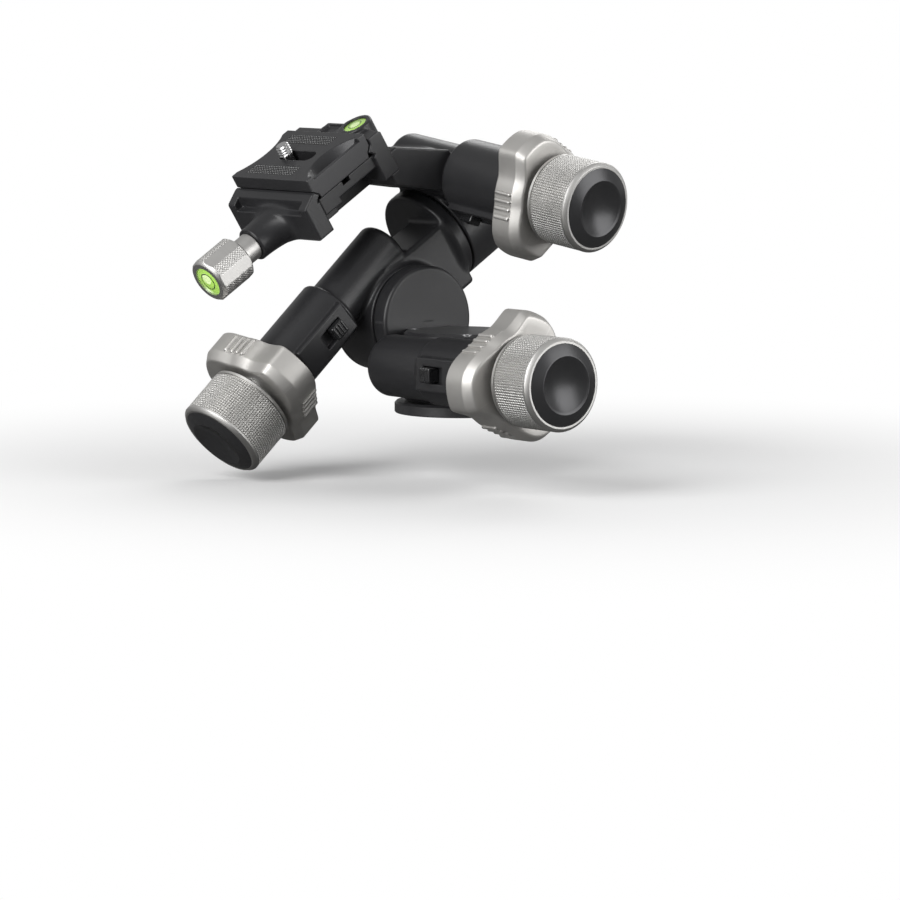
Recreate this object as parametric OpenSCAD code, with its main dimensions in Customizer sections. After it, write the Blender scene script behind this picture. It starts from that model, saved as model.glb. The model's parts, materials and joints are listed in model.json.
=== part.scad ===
// Three-axis geared head for a camera tripod, in the tilted pose of the photograph.
// Millimetres, +Z up. The origin is the mouth of the tripod thread in the base.
// Each axis has the same gear stage: a worm wheel fixed to the piece below, and a
// casting above it that carries the worm, its knob and its clutch ring in a barrel.

/* [Base] */
// Radius of the base flange
base_r = 29.3; // [28:0.1:33]
// Thickness of the base flange
base_t = 5.4; // [5:0.1:6]
// Radius of the tripod thread (three eighths of an inch)
tripod_thread_r = 4.7625; // [3.175:0.0125:4.8]
// Depth of the tripod thread
tripod_thread_len = 12; // [8:0.5:13]

/* [Gear stage] */
// Pitch radius of the worm
worm_pitch_r = 8; // [7.9:0.05:8.1]
// Teeth on each worm wheel
wheel_teeth = 40; // [38:1:42]
// Face width of the wheel's teeth
wheel_w = 9; // [6:0.5:10]
// Gap between the tips of the wheel's teeth and the case
tip_gap = 0.7; // [0.5:0.05:1]
// Outer radius of the round gear case
case_r = 25; // [24:0.1:27]
// Wall of the gear case
case_wall = 2.4; // [1.5:0.1:2.5]
// Radius of the post where the case turns on it
post_r = 12; // [11:0.25:13]
// Radius of the post where the wheel sits on it
post_top_r = 9; // [8:0.25:9.5]
// Gap between a case and the disc below it
slip_gap = 0.6; // [0.5:0.05:0.9]
// Thickness of the case's end cover
cover_t = 2.4; // [1.8:0.1:3]

/* [Barrel] */
// Radius of the plain end of the tilt and roll barrels
barrel_r = 12.3; // [12.1:0.1:12.6]
// Radius of the plain end of the pan barrel
pan_barrel_r = 14; // [12.5:0.1:14.4]
// Radius of the collar of the barrel
collar_r = 15.3; // [15:0.1:15.7]
// Distance from the wheel's plane to the closed end
closed_end = 19; // [18:0.5:22]
// Where the collar starts, along the worm
collar_from = 24; // [20:0.5:25.5]
// Where the collar ends
collar_to = 64; // [62:0.5:66]
// Radius of the plain end of the roll barrel
roll_barrel_r = 13.1; // [12.5:0.1:13.2]
// Radius of the collar of the roll barrel
roll_collar_r = 17.2; // [15.5:0.1:17.4]
// Distance from the wheel's plane to the closed end of the pan barrel
pan_closed_end = 14.4; // [14.3:0.1:19]
// Running clearance of a shaft in a bush
run_clear = 0.05; // [0.02:0.01:0.09]
// Clearance of two pieces that are fixed together
seat_clear = 0.02; // [0.01:0.01:0.04]

/* [Knob] */
// Radius of the control knob
knob_r = 20.5; // [19.5:0.1:22]
// Length of the control knob
knob_len = 24.6; // [22:0.1:26]
// Gap between the clutch ring and the knob
knob_gap = 2.5; // [1:0.1:4]
// Radius of the black end cap
cap_r = 18.1; // [15:0.1:18.5]
// How far the cap stands out of the knob
cap_rise = 2.3; // [1:0.1:2.6]
// Radius of the dish in the end cap
dish_r = 12.5; // [8:0.1:13.5]
// Depth of the dish
dish_depth = 3.2; // [1.5:0.1:3.4]

/* [Clutch ring] */
// Radius of the ring between its lobes
ring_r = 23; // [22:0.1:24]
// Radius over the lobes
wing_r = 30.6; // [29:0.1:32]
// Length of the ring along the barrel
ring_len = 16; // [14:0.5:17]
// Gap between the collar and the ring
ring_gap = 1; // [0.5:0.1:2]
// Number of lobes
lobes = 3; // [2:1:4]

/* [Layout] */
// Height of the pan worm above the base
pan_plane_z = 22; // [21.9:0.1:23]
// Height of the tilt axis
tilt_axis_z = 40.2; // [40:0.1:42]
// How far the upright disc bites into the rim of the pan case
disc_bite = 2.5; // [2:0.1:2.6]
// Thickness of that disc
tilt_disc_t = 9.4; // [8.5:0.1:9.6]
// From that disc's face to the plane of the tilt wheel
tilt_plane_gap = 25; // [24.9:0.1:26]
// Roll axis, sideways from the pan axis
roll_axis_x = -58; // [-59:0.1:-57]
// Roll axis, above the tilt axis
roll_axis_z = 14.5; // [13:0.1:16]
// From the rim of the tilt case to the face of the roll disc behind it
roll_disc_gap = 13.9; // [13.8:0.1:15]
// Thickness of the roll disc
roll_disc_t = 7.2; // [6.5:0.1:7.3]
// From that disc's face to the plane of the roll wheel
roll_plane_gap = 20.6; // [20.5:0.1:22]
// Angle by which the tilt and roll barrels droop
droop = 9.5; // [8:0.5:11]
// Forward tilt in the photograph
tilt_rest = 32.5; // [0:0.5:35]
// Sideways roll in the photograph
roll_rest = 0; // [-5:0.5:5]

/* [Camera clamp] */
// Height of the plate's top above the roll axis
plate_top = 75; // [74:0.5:80]
// Length of the quick-release plate
plate_len = 58; // [52:1:60]
// Width of the plate over its dovetail
plate_w = 38; // [37.5:0.1:39]
// Thickness of the plate
plate_t = 11; // [10:0.5:12]
// Length of the clamp's jaws
jaw_len = 60; // [56:1:64]
// Radius of the clamp's knob
clamp_knob_r = 10.8; // [9.5:0.1:12]
// Length of the clamp's knob
clamp_knob_len = 20; // [17:0.5:20]
// Far end of the clamp's knob, in front of the roll axis
clamp_knob_end = 72; // [70:0.5:76]
// Radius of the camera screw (a quarter of an inch across)
camera_screw_r = 3.175; // [3.175:0.0125:3.5]
// Height of the camera screw above the plate
camera_screw_h = 5.5; // [4:0.25:6]

/* [Hidden] */

// Shares, overruns and facets
overrun = 1;
smooth = 96;
fine = 48;
hair = 0.1;

// Colours
black = "#26262a";
soft_black = "#1c1c1e";
champagne = "#b9b5ad";
silver = "#c9c9c6";
steel = "#9a9da1";
bronze = "#a87b3f";
green = "#a8d84a";

// Inside a stage
tooth_addendum = 0.9;
wheel_pitch_r = case_r - case_wall - tip_gap - tooth_addendum;
centre_dist = wheel_pitch_r + worm_pitch_r;
tooth_pitch = 2 * PI * wheel_pitch_r / wheel_teeth;
tooth_dedendum = 1.2;
tooth_root_share = 0.24;
tooth_tip_share = 0.12;
worm_len = 18;
worm_steps = 44;
thread_points = 12;
thread_root_share = 0.2;
thread_flank_share = 0.1;
shaft_r = 5.5;
bore_r = 9.8;
bush_len = 2.6;
front_bush_from = 26;
front_bush_len = 10;
closed_wall = 2.6;
floor_t = 3;
bush_wall = 2;
lift = 0.3;
nut_t = 3.6;
nut_flats_r = 12.5;
post_spigot = 4;
edge = 1.2;
cover_screw_r = 1.5;
cover_screw_head_r = 2.7;
cover_screw_head_t = 1.4;
cover_screw_len = 6;
lug_r = 3.1;
cover_screws = 3;
cover_screw_angle = 60;
socket_depth_share = 0.6;
socket_width_share = 0.5;

// Inside a barrel
sleeve_r = 12.4;
sleeve_inner_r = 7;
sleeve_from = 48;
ring_from = collar_to + ring_gap;
ring_to = ring_from + ring_len;
knob_from = ring_to + knob_gap;
knob_to = knob_from + knob_len;
knob_web = 2;
knob_edge = 1.4;
cap_t = 4.4;
cap_edge = 0.6;
hub_r = 9;
knob_hollow_r = 14;
knob_hollow = 9;
screw_r = 2;
screw_head_r = 3.6;
screw_head_t = 2;
screw_len = 11;
knob_floor = knob_to - cap_t;
shaft_end = knob_floor - screw_head_t - knob_web;
lobe_drop = 20;
lobe_rise_from = 36;
lobe_rise_to = 86;
lobe_steps = 36;
wing_edge = 4;
wing_step = 1.6;
grip_ribs = 4;
grip_rib_r = 0.9;
grip_step = 8.5;
grip_angle = 27;

// Latch and its pad
pad_w = 15;
pad_rise = 1.3;
pad_start = 2;
pad_end = 5;
pad_from = collar_from + pad_start;
pad_to = collar_to - pad_end;
latch_w = 7;
latch_len = 7.5;
latch_rise = 3;
latch_sink = 2.7;
latch_travel = 5;
latch_start = 6;
latch_from = pad_from + latch_start;
side_gap = 0.25;
slot_depth = latch_sink + side_gap;

// Places of the discs and wheels of the tilt and roll stages
tilt_disc_x = disc_bite - case_r;
tilt_plane_x = tilt_disc_x - tilt_plane_gap;
roll_disc_y = case_r + roll_disc_gap;
roll_plane_y = roll_disc_y + roll_plane_gap;

// Planes of the cases, measured from the wheel's plane
pan_case_lo = base_t + slip_gap - pan_plane_z;
pan_case_hi = 12.6;
tilt_case_lo = tilt_disc_t + slip_gap - (tilt_disc_x - tilt_plane_x);
tilt_case_hi = 12.4;
roll_case_lo = roll_disc_t + slip_gap - (roll_plane_y - roll_disc_y);
roll_case_hi = 12.4;

// Base
base_chamfer = 1;
insert_r = 7;
base_screw_r = 1.2;
base_screw_head_r = 2.1;
base_screw_head_t = 1.6;
base_screw_ring = (insert_r + post_r) / 2 + hair;
base_screws_n = 4;
base_screw_len = 9;
base_screw_sink = 0.3;

// Turns of the pads and the clutch rings about their barrels
pan_pad_angle = 90;
tilt_pad_angle = 180;
roll_pad_angle = 215;
pan_ring_turn = 85;
tilt_ring_turn = 70;
roll_ring_turn = 77;
disc_foot_w = 44;
disc_foot_reach = 6;
web_drop = 22;
web_w = 24;
web_h = 34;

// Clamp and plate, from the roll axis
plate_bottom = plate_top - plate_t;
slab_t = 6;
groove_depth = 2.6;
groove_z = plate_top - slab_t - groove_depth;
plate_fit = 0.3;
bed_top = plate_bottom - plate_fit;
bed_t = 13.5;
bed_lo = bed_top - bed_t;
bed_front = -17.6;
far_jaw_t = 8;
jaw_t = 8.5;
jaw_drop = 2;
jaw_gap = 0.7;
jaw_front = plate_w / 2 + jaw_t;
screw_drop = 20;
screw_axis_z = plate_top - screw_drop;
jaw_boss_root_r = 12.5;
jaw_boss_r = 8.2;
jaw_boss_len = 15.5;
jaw_boss_y = jaw_front + jaw_boss_len;
jaw_open = 3;
clamp_shaft_r = 4.4;
clamp_thread_r = 3;
clamp_collar_r = 6.5;
clamp_knob_flats = 6;
clamp_knob_from = clamp_knob_end - clamp_knob_len;
knob_level_r = 7.2;
knob_level_t = 4;
level_x = 12;
level_r = 5.6;
level_t = 4;
level_boss_r = 8;
level_y = plate_w / 2 + level_boss_r + 2 * plate_fit;
level_drop = 1;
level_top = plate_top - level_drop;
pin_r = 1.8;
pin_x = 21;
pin_rise = 4.5;
pin_z = bed_lo + pin_rise;
arm_x0 = -10;
arm_x1 = 28;
arm_back = 4.5;
arm_front = plate_w / 2 + far_jaw_t + side_gap;
arm_foot_t = 6;
arm_foot_x = 9;
arm_foot_y = -4;
arm_top_share = 0.2;
arm_rise_share = 0.95;
arm_pockets = [-6, 4.5, 15];
pocket_w = 7.5;
pocket_l = 9;
pocket_roof = 4;
bolt_r = 2.5;
bolt_head_r = 4.2;
bolt_head_t = 2.6;
bolt_len = 10;
bolt_y = [3, 17];
pad_len = 34;
pad_strip_w = 6.6;
pad_sink = 0.6;
pad_x = -4;
pad_y = 12.2;
bed_half = jaw_len / 2 - 2;
bed_slab_t = 6;
rail_x = 9;
guide_w = 7.4;
guide_l = 9;
guide_rise = 1;
guide_step_t = 2.6;
guide_step_l = 11;
ridge_w = 11;
ear_x = 24.5;
ear_t = 4;
ear_rise = 6.5;
wall_dip = 1.8;
wall_dip_x = 15;
jaw_rise = 3;
jaw_lip = 0.4;
thread_depth = 16;
pin_depth = 7.2;
pin_jaw_depth = 7;
stop_block = 12;
stop_slot_w = 4.6;
level_dome = 0.7;
knob_spigot = 5;
flange_room = 3.2;
coin_slot_w = 1.4;
slot_x0 = -8;
slot_x1 = 9;
slot_r = 3.6;
screw_neck = 0.3;
screw_flange_r = 6.4;
screw_flange_t = 2.4;
waist_r = 26;
waist_depth = 5;
scoop_r = 19;
scoop_reach = 11;
scoop_wall = 2.6;
scoop_depth = 5;
stop_r = 1.8;
stop_drop = 2.2;
stop_x = 22;
stop_len = 5;

// The frames of the three stages: each has its axis along Z and its worm along X
module at_pan() {
    translate([0, 0, pan_plane_z]) children();
}
module at_tilt_frame() {
    translate([0, 0, tilt_axis_z]) rotate([tilt_rest, 0, 0]) children();
}
module at_tilt() {
    at_tilt_frame() translate([tilt_plane_x, 0, 0])
        rotate([90 + droop, 0, 0]) rotate([0, -90, 0]) children();
}
module at_roll_frame() {
    at_tilt_frame() translate([roll_axis_x, 0, roll_axis_z]) rotate([0, roll_rest, 0]) children();
}
module at_roll() {
    at_roll_frame() translate([0, roll_plane_y, 0])
        rotate([0, droop, 0]) rotate([-90, 0, 0]) children();
}

// A disc or ring along Z
module ring(r_out, r_in, z_lo, z_hi) {
    translate([0, 0, z_lo]) difference() {
        cylinder(r = r_out, h = z_hi - z_lo, $fn = smooth);
        translate([0, 0, -overrun]) cylinder(r = r_in, h = z_hi - z_lo + 2 * overrun, $fn = smooth);
    }
}
// A rod along the barrel, from a to b
module rod(r, a, b) {
    translate([a, 0, 0]) rotate([0, 90, 0]) cylinder(r = r, h = b - a, $fn = smooth);
}
// A rod with its ends chamfered
module soft_rod(r, a, b, c) {
    translate([a, 0, 0]) rotate([0, 90, 0]) rotate_extrude($fn = smooth)
        polygon([[0, 0], [r - c, 0], [r, c], [r, b - a - c], [r - c, b - a], [0, b - a]]);
}
// Moves to the barrel's axis; side is -1 or 1
module on_barrel(side) {
    translate([0, side * centre_dist, 0]) children();
}

// Outline of the wheel's teeth, with a gap on the line to the worm
function tooth_ring(n, r, gap_angle) = [for (i = [0 : n - 1], k = [0 : 3])
    let (
        a = gap_angle + (i + 0.5) * 360 / n,
        share = (k == 0 || k == 3) ? tooth_root_share : tooth_tip_share,
        s = (k < 2) ? -1 : 1,
        rad = (k == 0 || k == 3) ? r - tooth_dedendum : r + tooth_addendum
    ) rad * [cos(a + s * share * 360 / n), sin(a + s * share * 360 / n)]];
module stage_wheel(case_lo, side) {
    hub_lo = case_lo + floor_t + lift;
    difference() {
        union() {
            translate([0, 0, -wheel_w / 2]) linear_extrude(height = wheel_w)
                polygon(tooth_ring(wheel_teeth, wheel_pitch_r, side * 90));
            translate([0, 0, hub_lo])
                cylinder(r = post_r + bush_wall + edge, h = -hub_lo, $fn = smooth);
        }
        translate([0, 0, hub_lo - overrun])
            cylinder(r = post_top_r + seat_clear, h = wheel_w - hub_lo + 2 * overrun, $fn = smooth);
    }
}
// The post: a spigot into the disc below, the bearing, then the seat of the wheel
module stage_post(foot, case_lo, top, spigot) {
    shoulder = case_lo + floor_t + lift;
    union() {
        translate([0, 0, foot - spigot]) cylinder(r = post_top_r, h = spigot + hair, $fn = smooth);
        translate([0, 0, foot]) cylinder(r = post_r, h = shoulder - foot, $fn = smooth);
        translate([0, 0, shoulder - hair]) cylinder(r = post_top_r, h = top - shoulder + hair, $fn = smooth);
    }
}
module stage_nut() {
    translate([0, 0, wheel_w / 2 + seat_clear]) difference() {
        cylinder(r = nut_flats_r, h = nut_t, $fn = 6);
        translate([0, 0, -overrun])
            cylinder(r = post_top_r + seat_clear, h = nut_t + 2 * overrun, $fn = smooth);
    }
}
module stage_slip_ring(case_lo) {
    ring(case_r - 2 * edge, post_r + bush_wall, case_lo - slip_gap + side_gap / 2, case_lo - side_gap / 2);
}

// Barrel of a case: closed end, plain part, collar with its flat pad
module barrel_outside(side, pad_angle, plain_r, wide_r, closed) {
    on_barrel(side) {
        soft_rod(plain_r, -closed, collar_from + overrun, edge * 2);
        soft_rod(wide_r, collar_from, collar_to, edge);
        rotate([pad_angle, 0, 0])
            translate([pad_from, -pad_w / 2, 0]) cube([pad_to - pad_from, pad_w, wide_r + pad_rise]);
    }
}
module barrel_inside(side, pad_angle, wide_r, closed) {
    on_barrel(side) {
        rod(bore_r, closed_wall - closed, collar_to + overrun);
        rod(sleeve_r + run_clear, sleeve_from - side_gap, collar_to + overrun);
        rotate([pad_angle, 0, 0])
            translate([latch_from - side_gap, -latch_w / 2 - side_gap, wide_r + pad_rise - slot_depth])
                cube([latch_len + latch_travel + 2 * side_gap, latch_w + 2 * side_gap, slot_depth + overrun]);
    }
}
// Round case around the wheel, with its floor and lugs for the cover screws
module case_outside(lo, hi) {
    translate([0, 0, lo]) cylinder(r = case_r, h = hi - lo, $fn = smooth);
}
module case_inside(lo, hi, side) {
    difference() {
        translate([0, 0, lo + floor_t]) cylinder(r = case_r - case_wall, h = hi - lo, $fn = smooth);
        for (i = [0 : cover_screws - 1]) rotate([0, 0, side * 90 + cover_screw_angle + i * 360 / cover_screws])
            translate([case_r - case_wall, 0, hi - cover_screw_len])
                cylinder(r = lug_r, h = cover_screw_len + overrun, $fn = fine);
    }
    translate([0, 0, lo - overrun])
        cylinder(r = post_r + bush_wall + seat_clear, h = floor_t + 2 * overrun, $fn = smooth);
    for (i = [0 : cover_screws - 1]) rotate([0, 0, side * 90 + cover_screw_angle + i * 360 / cover_screws])
        translate([case_r - case_wall - edge / 2, 0, hi - cover_screw_len + hair])
            cylinder(r = cover_screw_r + seat_clear, h = cover_screw_len, $fn = fine);
}
module stage_cover(hi, side) {
    difference() {
        translate([0, 0, hi]) rotate_extrude($fn = smooth)
            polygon([[0, 0], [case_r, 0], [case_r, cover_t - edge], [case_r - edge, cover_t], [0, cover_t]]);
        for (i = [0 : cover_screws - 1]) rotate([0, 0, side * 90 + cover_screw_angle + i * 360 / cover_screws])
            translate([case_r - case_wall - edge / 2, 0, hi - overrun]) {
                cylinder(r = cover_screw_r + seat_clear, h = cover_t + 2 * overrun, $fn = fine);
                translate([0, 0, overrun + cover_t - cover_screw_head_t])
                    cylinder(r = cover_screw_head_r + seat_clear, h = cover_t, $fn = fine);
            }
    }
}
module stage_cover_screws(hi, side) {
    for (i = [0 : cover_screws - 1]) rotate([0, 0, side * 90 + cover_screw_angle + i * 360 / cover_screws])
        translate([case_r - case_wall - edge / 2, 0, hi + cover_t])
            socket_screw(cover_screw_r, cover_screw_len, cover_screw_head_r, cover_screw_head_t);
}
// A screw hanging down from the origin, head on top, with a hexagon socket
module socket_screw(r, len, head_r, head_t) {
    difference() {
        union() {
            translate([0, 0, -head_t]) cylinder(r = head_r, h = head_t, $fn = fine);
            translate([0, 0, -len]) cylinder(r = r, h = len, $fn = fine);
        }
        translate([0, 0, -head_t * socket_depth_share])
            cylinder(r = head_r * socket_width_share, h = head_t, $fn = 6);
    }
}
module stage_bushes(side, case_lo, closed) {
    ring(post_r + bush_wall, post_r + run_clear, case_lo + hair, case_lo + floor_t);
    on_barrel(side) translate([front_bush_from, 0, 0]) rotate([0, 90, 0])
        ring(bore_r - seat_clear, shaft_r + run_clear, 0, front_bush_len);
    difference() {
        on_barrel(side) translate([closed_wall - closed + seat_clear, 0, 0]) rotate([0, 90, 0])
            ring(bore_r - seat_clear, shaft_r + run_clear, 0, bush_len);
        translate([0, 0, -wheel_w]) cylinder(r = case_r - case_wall - tip_gap / 2, h = 2 * wheel_w, $fn = smooth);
    }
}

// The worm: a one-start thread on a shaft that runs on to the knob
function thread_outline(r_lo, r_hi) = [for (i = [0 : thread_points - 1])
    let (
        a = i * 360 / thread_points,
        d = abs(a > 180 ? 360 - a : a) / 360,
        k = min(1, max(0, (thread_root_share - d) / thread_flank_share))
    ) (r_lo + (r_hi - r_lo) * k) * [cos(a), sin(a)]];
module stage_worm(side, closed) {
    on_barrel(side) {
        rotate([90 + side * 90, 0, 0]) translate([-worm_len / 2, 0, 0]) rotate([0, 90, 0])
            rotate([0, 0, 90 - 180 * worm_len / tooth_pitch])
            linear_extrude(height = worm_len, twist = -360 * worm_len / tooth_pitch, slices = worm_steps)
                polygon(thread_outline(worm_pitch_r - tooth_dedendum, worm_pitch_r + tooth_addendum));
        difference() {
            rod(shaft_r, closed_wall - closed + lift, shaft_end);
            rod(screw_r + seat_clear, shaft_end - screw_len, shaft_end + overrun);
        }
    }
}

// Knob, its screw and its dished cap
module stage_knob(side) {
    on_barrel(side) difference() {
        soft_rod(knob_r, knob_from, knob_to, knob_edge);
        rod(shaft_r + seat_clear, knob_from - overrun, shaft_end + seat_clear);
        rod(screw_r + side_gap, knob_from, knob_to);
        rod(screw_head_r + side_gap, knob_floor - screw_head_t, knob_to);
        rod(cap_r + seat_clear, knob_floor, knob_to + overrun);
        difference() {
            rod(knob_hollow_r, knob_from - overrun, knob_from + knob_hollow);
            rod(hub_r, knob_from - 2 * overrun, knob_from + knob_hollow + overrun);
        }
    }
}
module stage_knob_screw(side) {
    on_barrel(side) translate([knob_floor - hair, 0, 0]) rotate([0, 90, 0])
        socket_screw(screw_r, screw_len, screw_head_r, screw_head_t - hair);
}
module stage_knob_cap(side) {
    face = knob_to + cap_rise;
    ball_r = (pow(dish_r, 2) + pow(dish_depth, 2)) / (2 * dish_depth);
    on_barrel(side) difference() {
        translate([knob_floor + seat_clear, 0, 0]) rotate([0, 90, 0]) rotate_extrude($fn = smooth)
            polygon([[0, 0], [cap_r, 0], [cap_r, cap_t - seat_clear],
                [dish_r + cap_edge, face - knob_floor - seat_clear], [0, face - knob_floor - seat_clear]]);
        translate([face + ball_r - dish_depth, 0, 0]) sphere(r = ball_r, $fn = smooth);
    }
}

// Clutch ring with three lobes, and the steel sleeve that it sits on. From each lobe's corner
// the outline drops to a ribbed waist, then rises slowly to the next lobe.
function ease(t) = t * t * (3 - 2 * t);
function lobe_share(a) = a < lobe_drop ? pow(1 - a / lobe_drop, 2)
    : a < lobe_rise_from ? 0
    : a < lobe_rise_to ? ease((a - lobe_rise_from) / (lobe_rise_to - lobe_rise_from)) : 1;
function lobe_radius(a) = ring_r + (wing_r - ring_r) * lobe_share(a % (360 / lobes));
module lobe_outline(inset) {
    polygon([for (i = [0 : lobes * lobe_steps - 1])
        let (a = i * 360 / (lobes * lobe_steps)) (lobe_radius(a) - inset) * [cos(a), sin(a)]]);
}
module stage_clutch_ring(side, turn) {
    on_barrel(side) difference() {
        rotate([turn, 0, 0]) rotate([90, 0, 90]) union() {
            translate([0, 0, ring_from]) linear_extrude(height = ring_len - wing_edge) lobe_outline(0);
            translate([0, 0, ring_to - wing_edge - hair])
                linear_extrude(height = wing_edge + hair) lobe_outline(wing_step);
            for (lobe = [0 : lobes - 1], i = [0 : grip_ribs - 1])
                rotate(lobe * 360 / lobes + grip_angle + i * grip_step)
                    translate([lobe_radius(grip_angle + i * grip_step), 0, ring_from + edge])
                        cylinder(r = grip_rib_r, h = ring_len - wing_edge - 2 * edge, $fn = 24);
        }
        rod(sleeve_r + seat_clear, ring_from - overrun, ring_to + overrun);
    }
}
module stage_clutch_sleeve(side) {
    on_barrel(side) translate([sleeve_from, 0, 0]) rotate([0, 90, 0])
        ring(sleeve_r, sleeve_inner_r, 0, ring_to - sleeve_from + knob_gap / 2);
}
module stage_latch(side, pad_angle, wide_r) {
    foot = wide_r + pad_rise - latch_sink;
    top = wide_r + pad_rise + latch_rise;
    on_barrel(side) rotate([pad_angle, 0, 0]) difference() {
        translate([latch_from, -latch_w / 2, foot]) cube([latch_len, latch_w, top - foot]);
        for (i = [-1 : 1]) translate([latch_from + latch_len / 2 + i * latch_len / 4, -latch_w, top])
            rotate([-90, 0, 0]) cylinder(r = grip_rib_r / 2, h = 2 * latch_w, $fn = 24);
    }
}

// Base
module base_flange() {
    color(black) difference() {
        rotate_extrude($fn = smooth) polygon([[0, 0], [base_r - base_chamfer / 2, 0],
            [base_r, base_chamfer / 2], [base_r, base_t - base_chamfer],
            [base_r - base_chamfer, base_t], [0, base_t]]);
        translate([0, 0, -overrun]) cylinder(r = insert_r + seat_clear, h = base_t + 2 * overrun, $fn = smooth);
        base_screw_places() translate([0, 0, -overrun]) {
            cylinder(r = base_screw_r + seat_clear, h = base_t + 2 * overrun, $fn = fine);
            cylinder(r = base_screw_head_r + seat_clear,
                h = base_screw_sink + base_screw_head_t + overrun, $fn = fine);
        }
    }
}
module base_screw_places() {
    for (i = [0 : base_screws_n - 1]) rotate([0, 0, 45 + i * 360 / base_screws_n])
        translate([base_screw_ring, 0, 0]) children();
}
module base_insert() {
    color(steel) ring(insert_r, tripod_thread_r, 0, tripod_thread_len);
}
module base_screws() {
    color(steel) base_screw_places() translate([0, 0, base_screw_sink]) mirror([0, 0, 1])
        socket_screw(base_screw_r, base_screw_len, base_screw_head_r, base_screw_head_t);
}

// Pan stage
module pan_slip_ring() {
    color(soft_black) at_pan() stage_slip_ring(pan_case_lo);
}
module pan_post() {
    foot = base_t - pan_plane_z;
    color(steel) difference() {
        at_pan() stage_post(foot, pan_case_lo, pan_case_hi - edge, 0);
        translate([0, 0, base_t - overrun])
            cylinder(r = insert_r + seat_clear, h = tripod_thread_len - base_t + 2 * overrun, $fn = smooth);
        base_screw_places() translate([0, 0, base_t - overrun])
            cylinder(r = base_screw_r + seat_clear, h = base_screw_len, $fn = fine);
    }
}
module pan_wheel() {
    color(bronze) at_pan() stage_wheel(pan_case_lo, -1);
}
module pan_post_nut() {
    color(steel) at_pan() stage_nut();
}
module pan_case() {
    color(black) difference() {
        union() {
            at_pan() {
                case_outside(pan_case_lo, pan_case_hi);
                barrel_outside(-1, pan_pad_angle, pan_barrel_r, collar_r, pan_closed_end);
            }
            tilt_disc();
        }
        at_pan() {
            case_inside(pan_case_lo, pan_case_hi, -1);
            barrel_inside(-1, pan_pad_angle, collar_r, pan_closed_end);
        }
        at_tilt() post_socket(tilt_case_lo);
    }
}
// Upright disc with a straight foot, which carries the tilt post
module tilt_disc() {
    foot_z = pan_plane_z + pan_case_lo + edge;
    translate([tilt_disc_x - tilt_disc_t, 0, tilt_axis_z]) rotate([0, 90, 0])
        rotate_extrude($fn = smooth) polygon([[0, 0], [case_r, 0], [case_r, tilt_disc_t - edge],
            [case_r - edge, tilt_disc_t], [0, tilt_disc_t]]);
    intersection() {
        translate([tilt_disc_x - tilt_disc_t, -disc_foot_w / 2, foot_z])
            cube([tilt_disc_t, disc_foot_w, tilt_axis_z - foot_z]);
        translate([tilt_disc_x - tilt_disc_t - overrun, 0, tilt_axis_z]) rotate([0, 90, 0])
            cylinder(r = case_r + disc_foot_reach, h = tilt_disc_t + 2 * overrun, $fn = smooth);
    }
}
// Blind hole in a disc for the spigot of the post
module post_socket(case_lo) {
    translate([0, 0, case_lo - slip_gap - post_spigot - seat_clear])
        cylinder(r = post_top_r + seat_clear, h = post_spigot + overrun, $fn = smooth);
}
// The pan cover is cut away for the upright disc and the barrel
module pan_cover() {
    color(black) at_pan() difference() {
        stage_cover(pan_case_hi, -1);
        translate([tilt_disc_x + seat_clear - case_r, -case_r, pan_case_hi - overrun])
            cube([case_r, 2 * case_r, cover_t + 2 * overrun]);
        on_barrel(-1) rod(pan_barrel_r + seat_clear, -pan_closed_end, collar_from);
    }
}
module pan_cover_screws() {
    color(steel) at_pan() stage_cover_screws(pan_case_hi, -1);
}
module pan_bushes() {
    color(bronze) at_pan() stage_bushes(-1, pan_case_lo, pan_closed_end);
}
module pan_worm() {
    color(steel) at_pan() stage_worm(-1, pan_closed_end);
}
module pan_knob() {
    color(silver) at_pan() stage_knob(-1);
}
module pan_knob_screw() {
    color(steel) at_pan() stage_knob_screw(-1);
}
module pan_knob_cap() {
    color(black) at_pan() stage_knob_cap(-1);
}
module pan_clutch_sleeve() {
    color(steel) at_pan() stage_clutch_sleeve(-1);
}
module pan_clutch_ring() {
    color(champagne) at_pan() stage_clutch_ring(-1, pan_ring_turn);
}
module pan_latch() {
    color(soft_black) at_pan() stage_latch(-1, pan_pad_angle, collar_r);
}

// Tilt stage
module tilt_slip_ring() {
    color(soft_black) at_tilt() stage_slip_ring(tilt_case_lo);
}
module tilt_post() {
    color(steel) at_tilt()
        stage_post(tilt_case_lo - slip_gap, tilt_case_lo, tilt_case_hi - edge, post_spigot);
}
module tilt_wheel() {
    color(bronze) at_tilt() stage_wheel(tilt_case_lo, 1);
}
module tilt_post_nut() {
    color(steel) at_tilt() stage_nut();
}
module tilt_case() {
    color(black) difference() {
        union() {
            at_tilt() {
                case_outside(tilt_case_lo, tilt_case_hi);
                barrel_outside(1, tilt_pad_angle, barrel_r, collar_r, closed_end);
            }
            at_tilt_frame() roll_disc();
        }
        at_tilt() {
            case_inside(tilt_case_lo, tilt_case_hi, 1);
            barrel_inside(1, tilt_pad_angle, collar_r, closed_end);
        }
        at_roll_neutral() post_socket(roll_case_lo);
    }
}
module at_roll_neutral() {
    at_tilt_frame() translate([roll_axis_x, roll_plane_y, roll_axis_z]) rotate([-90, 0, 0]) children();
}
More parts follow.
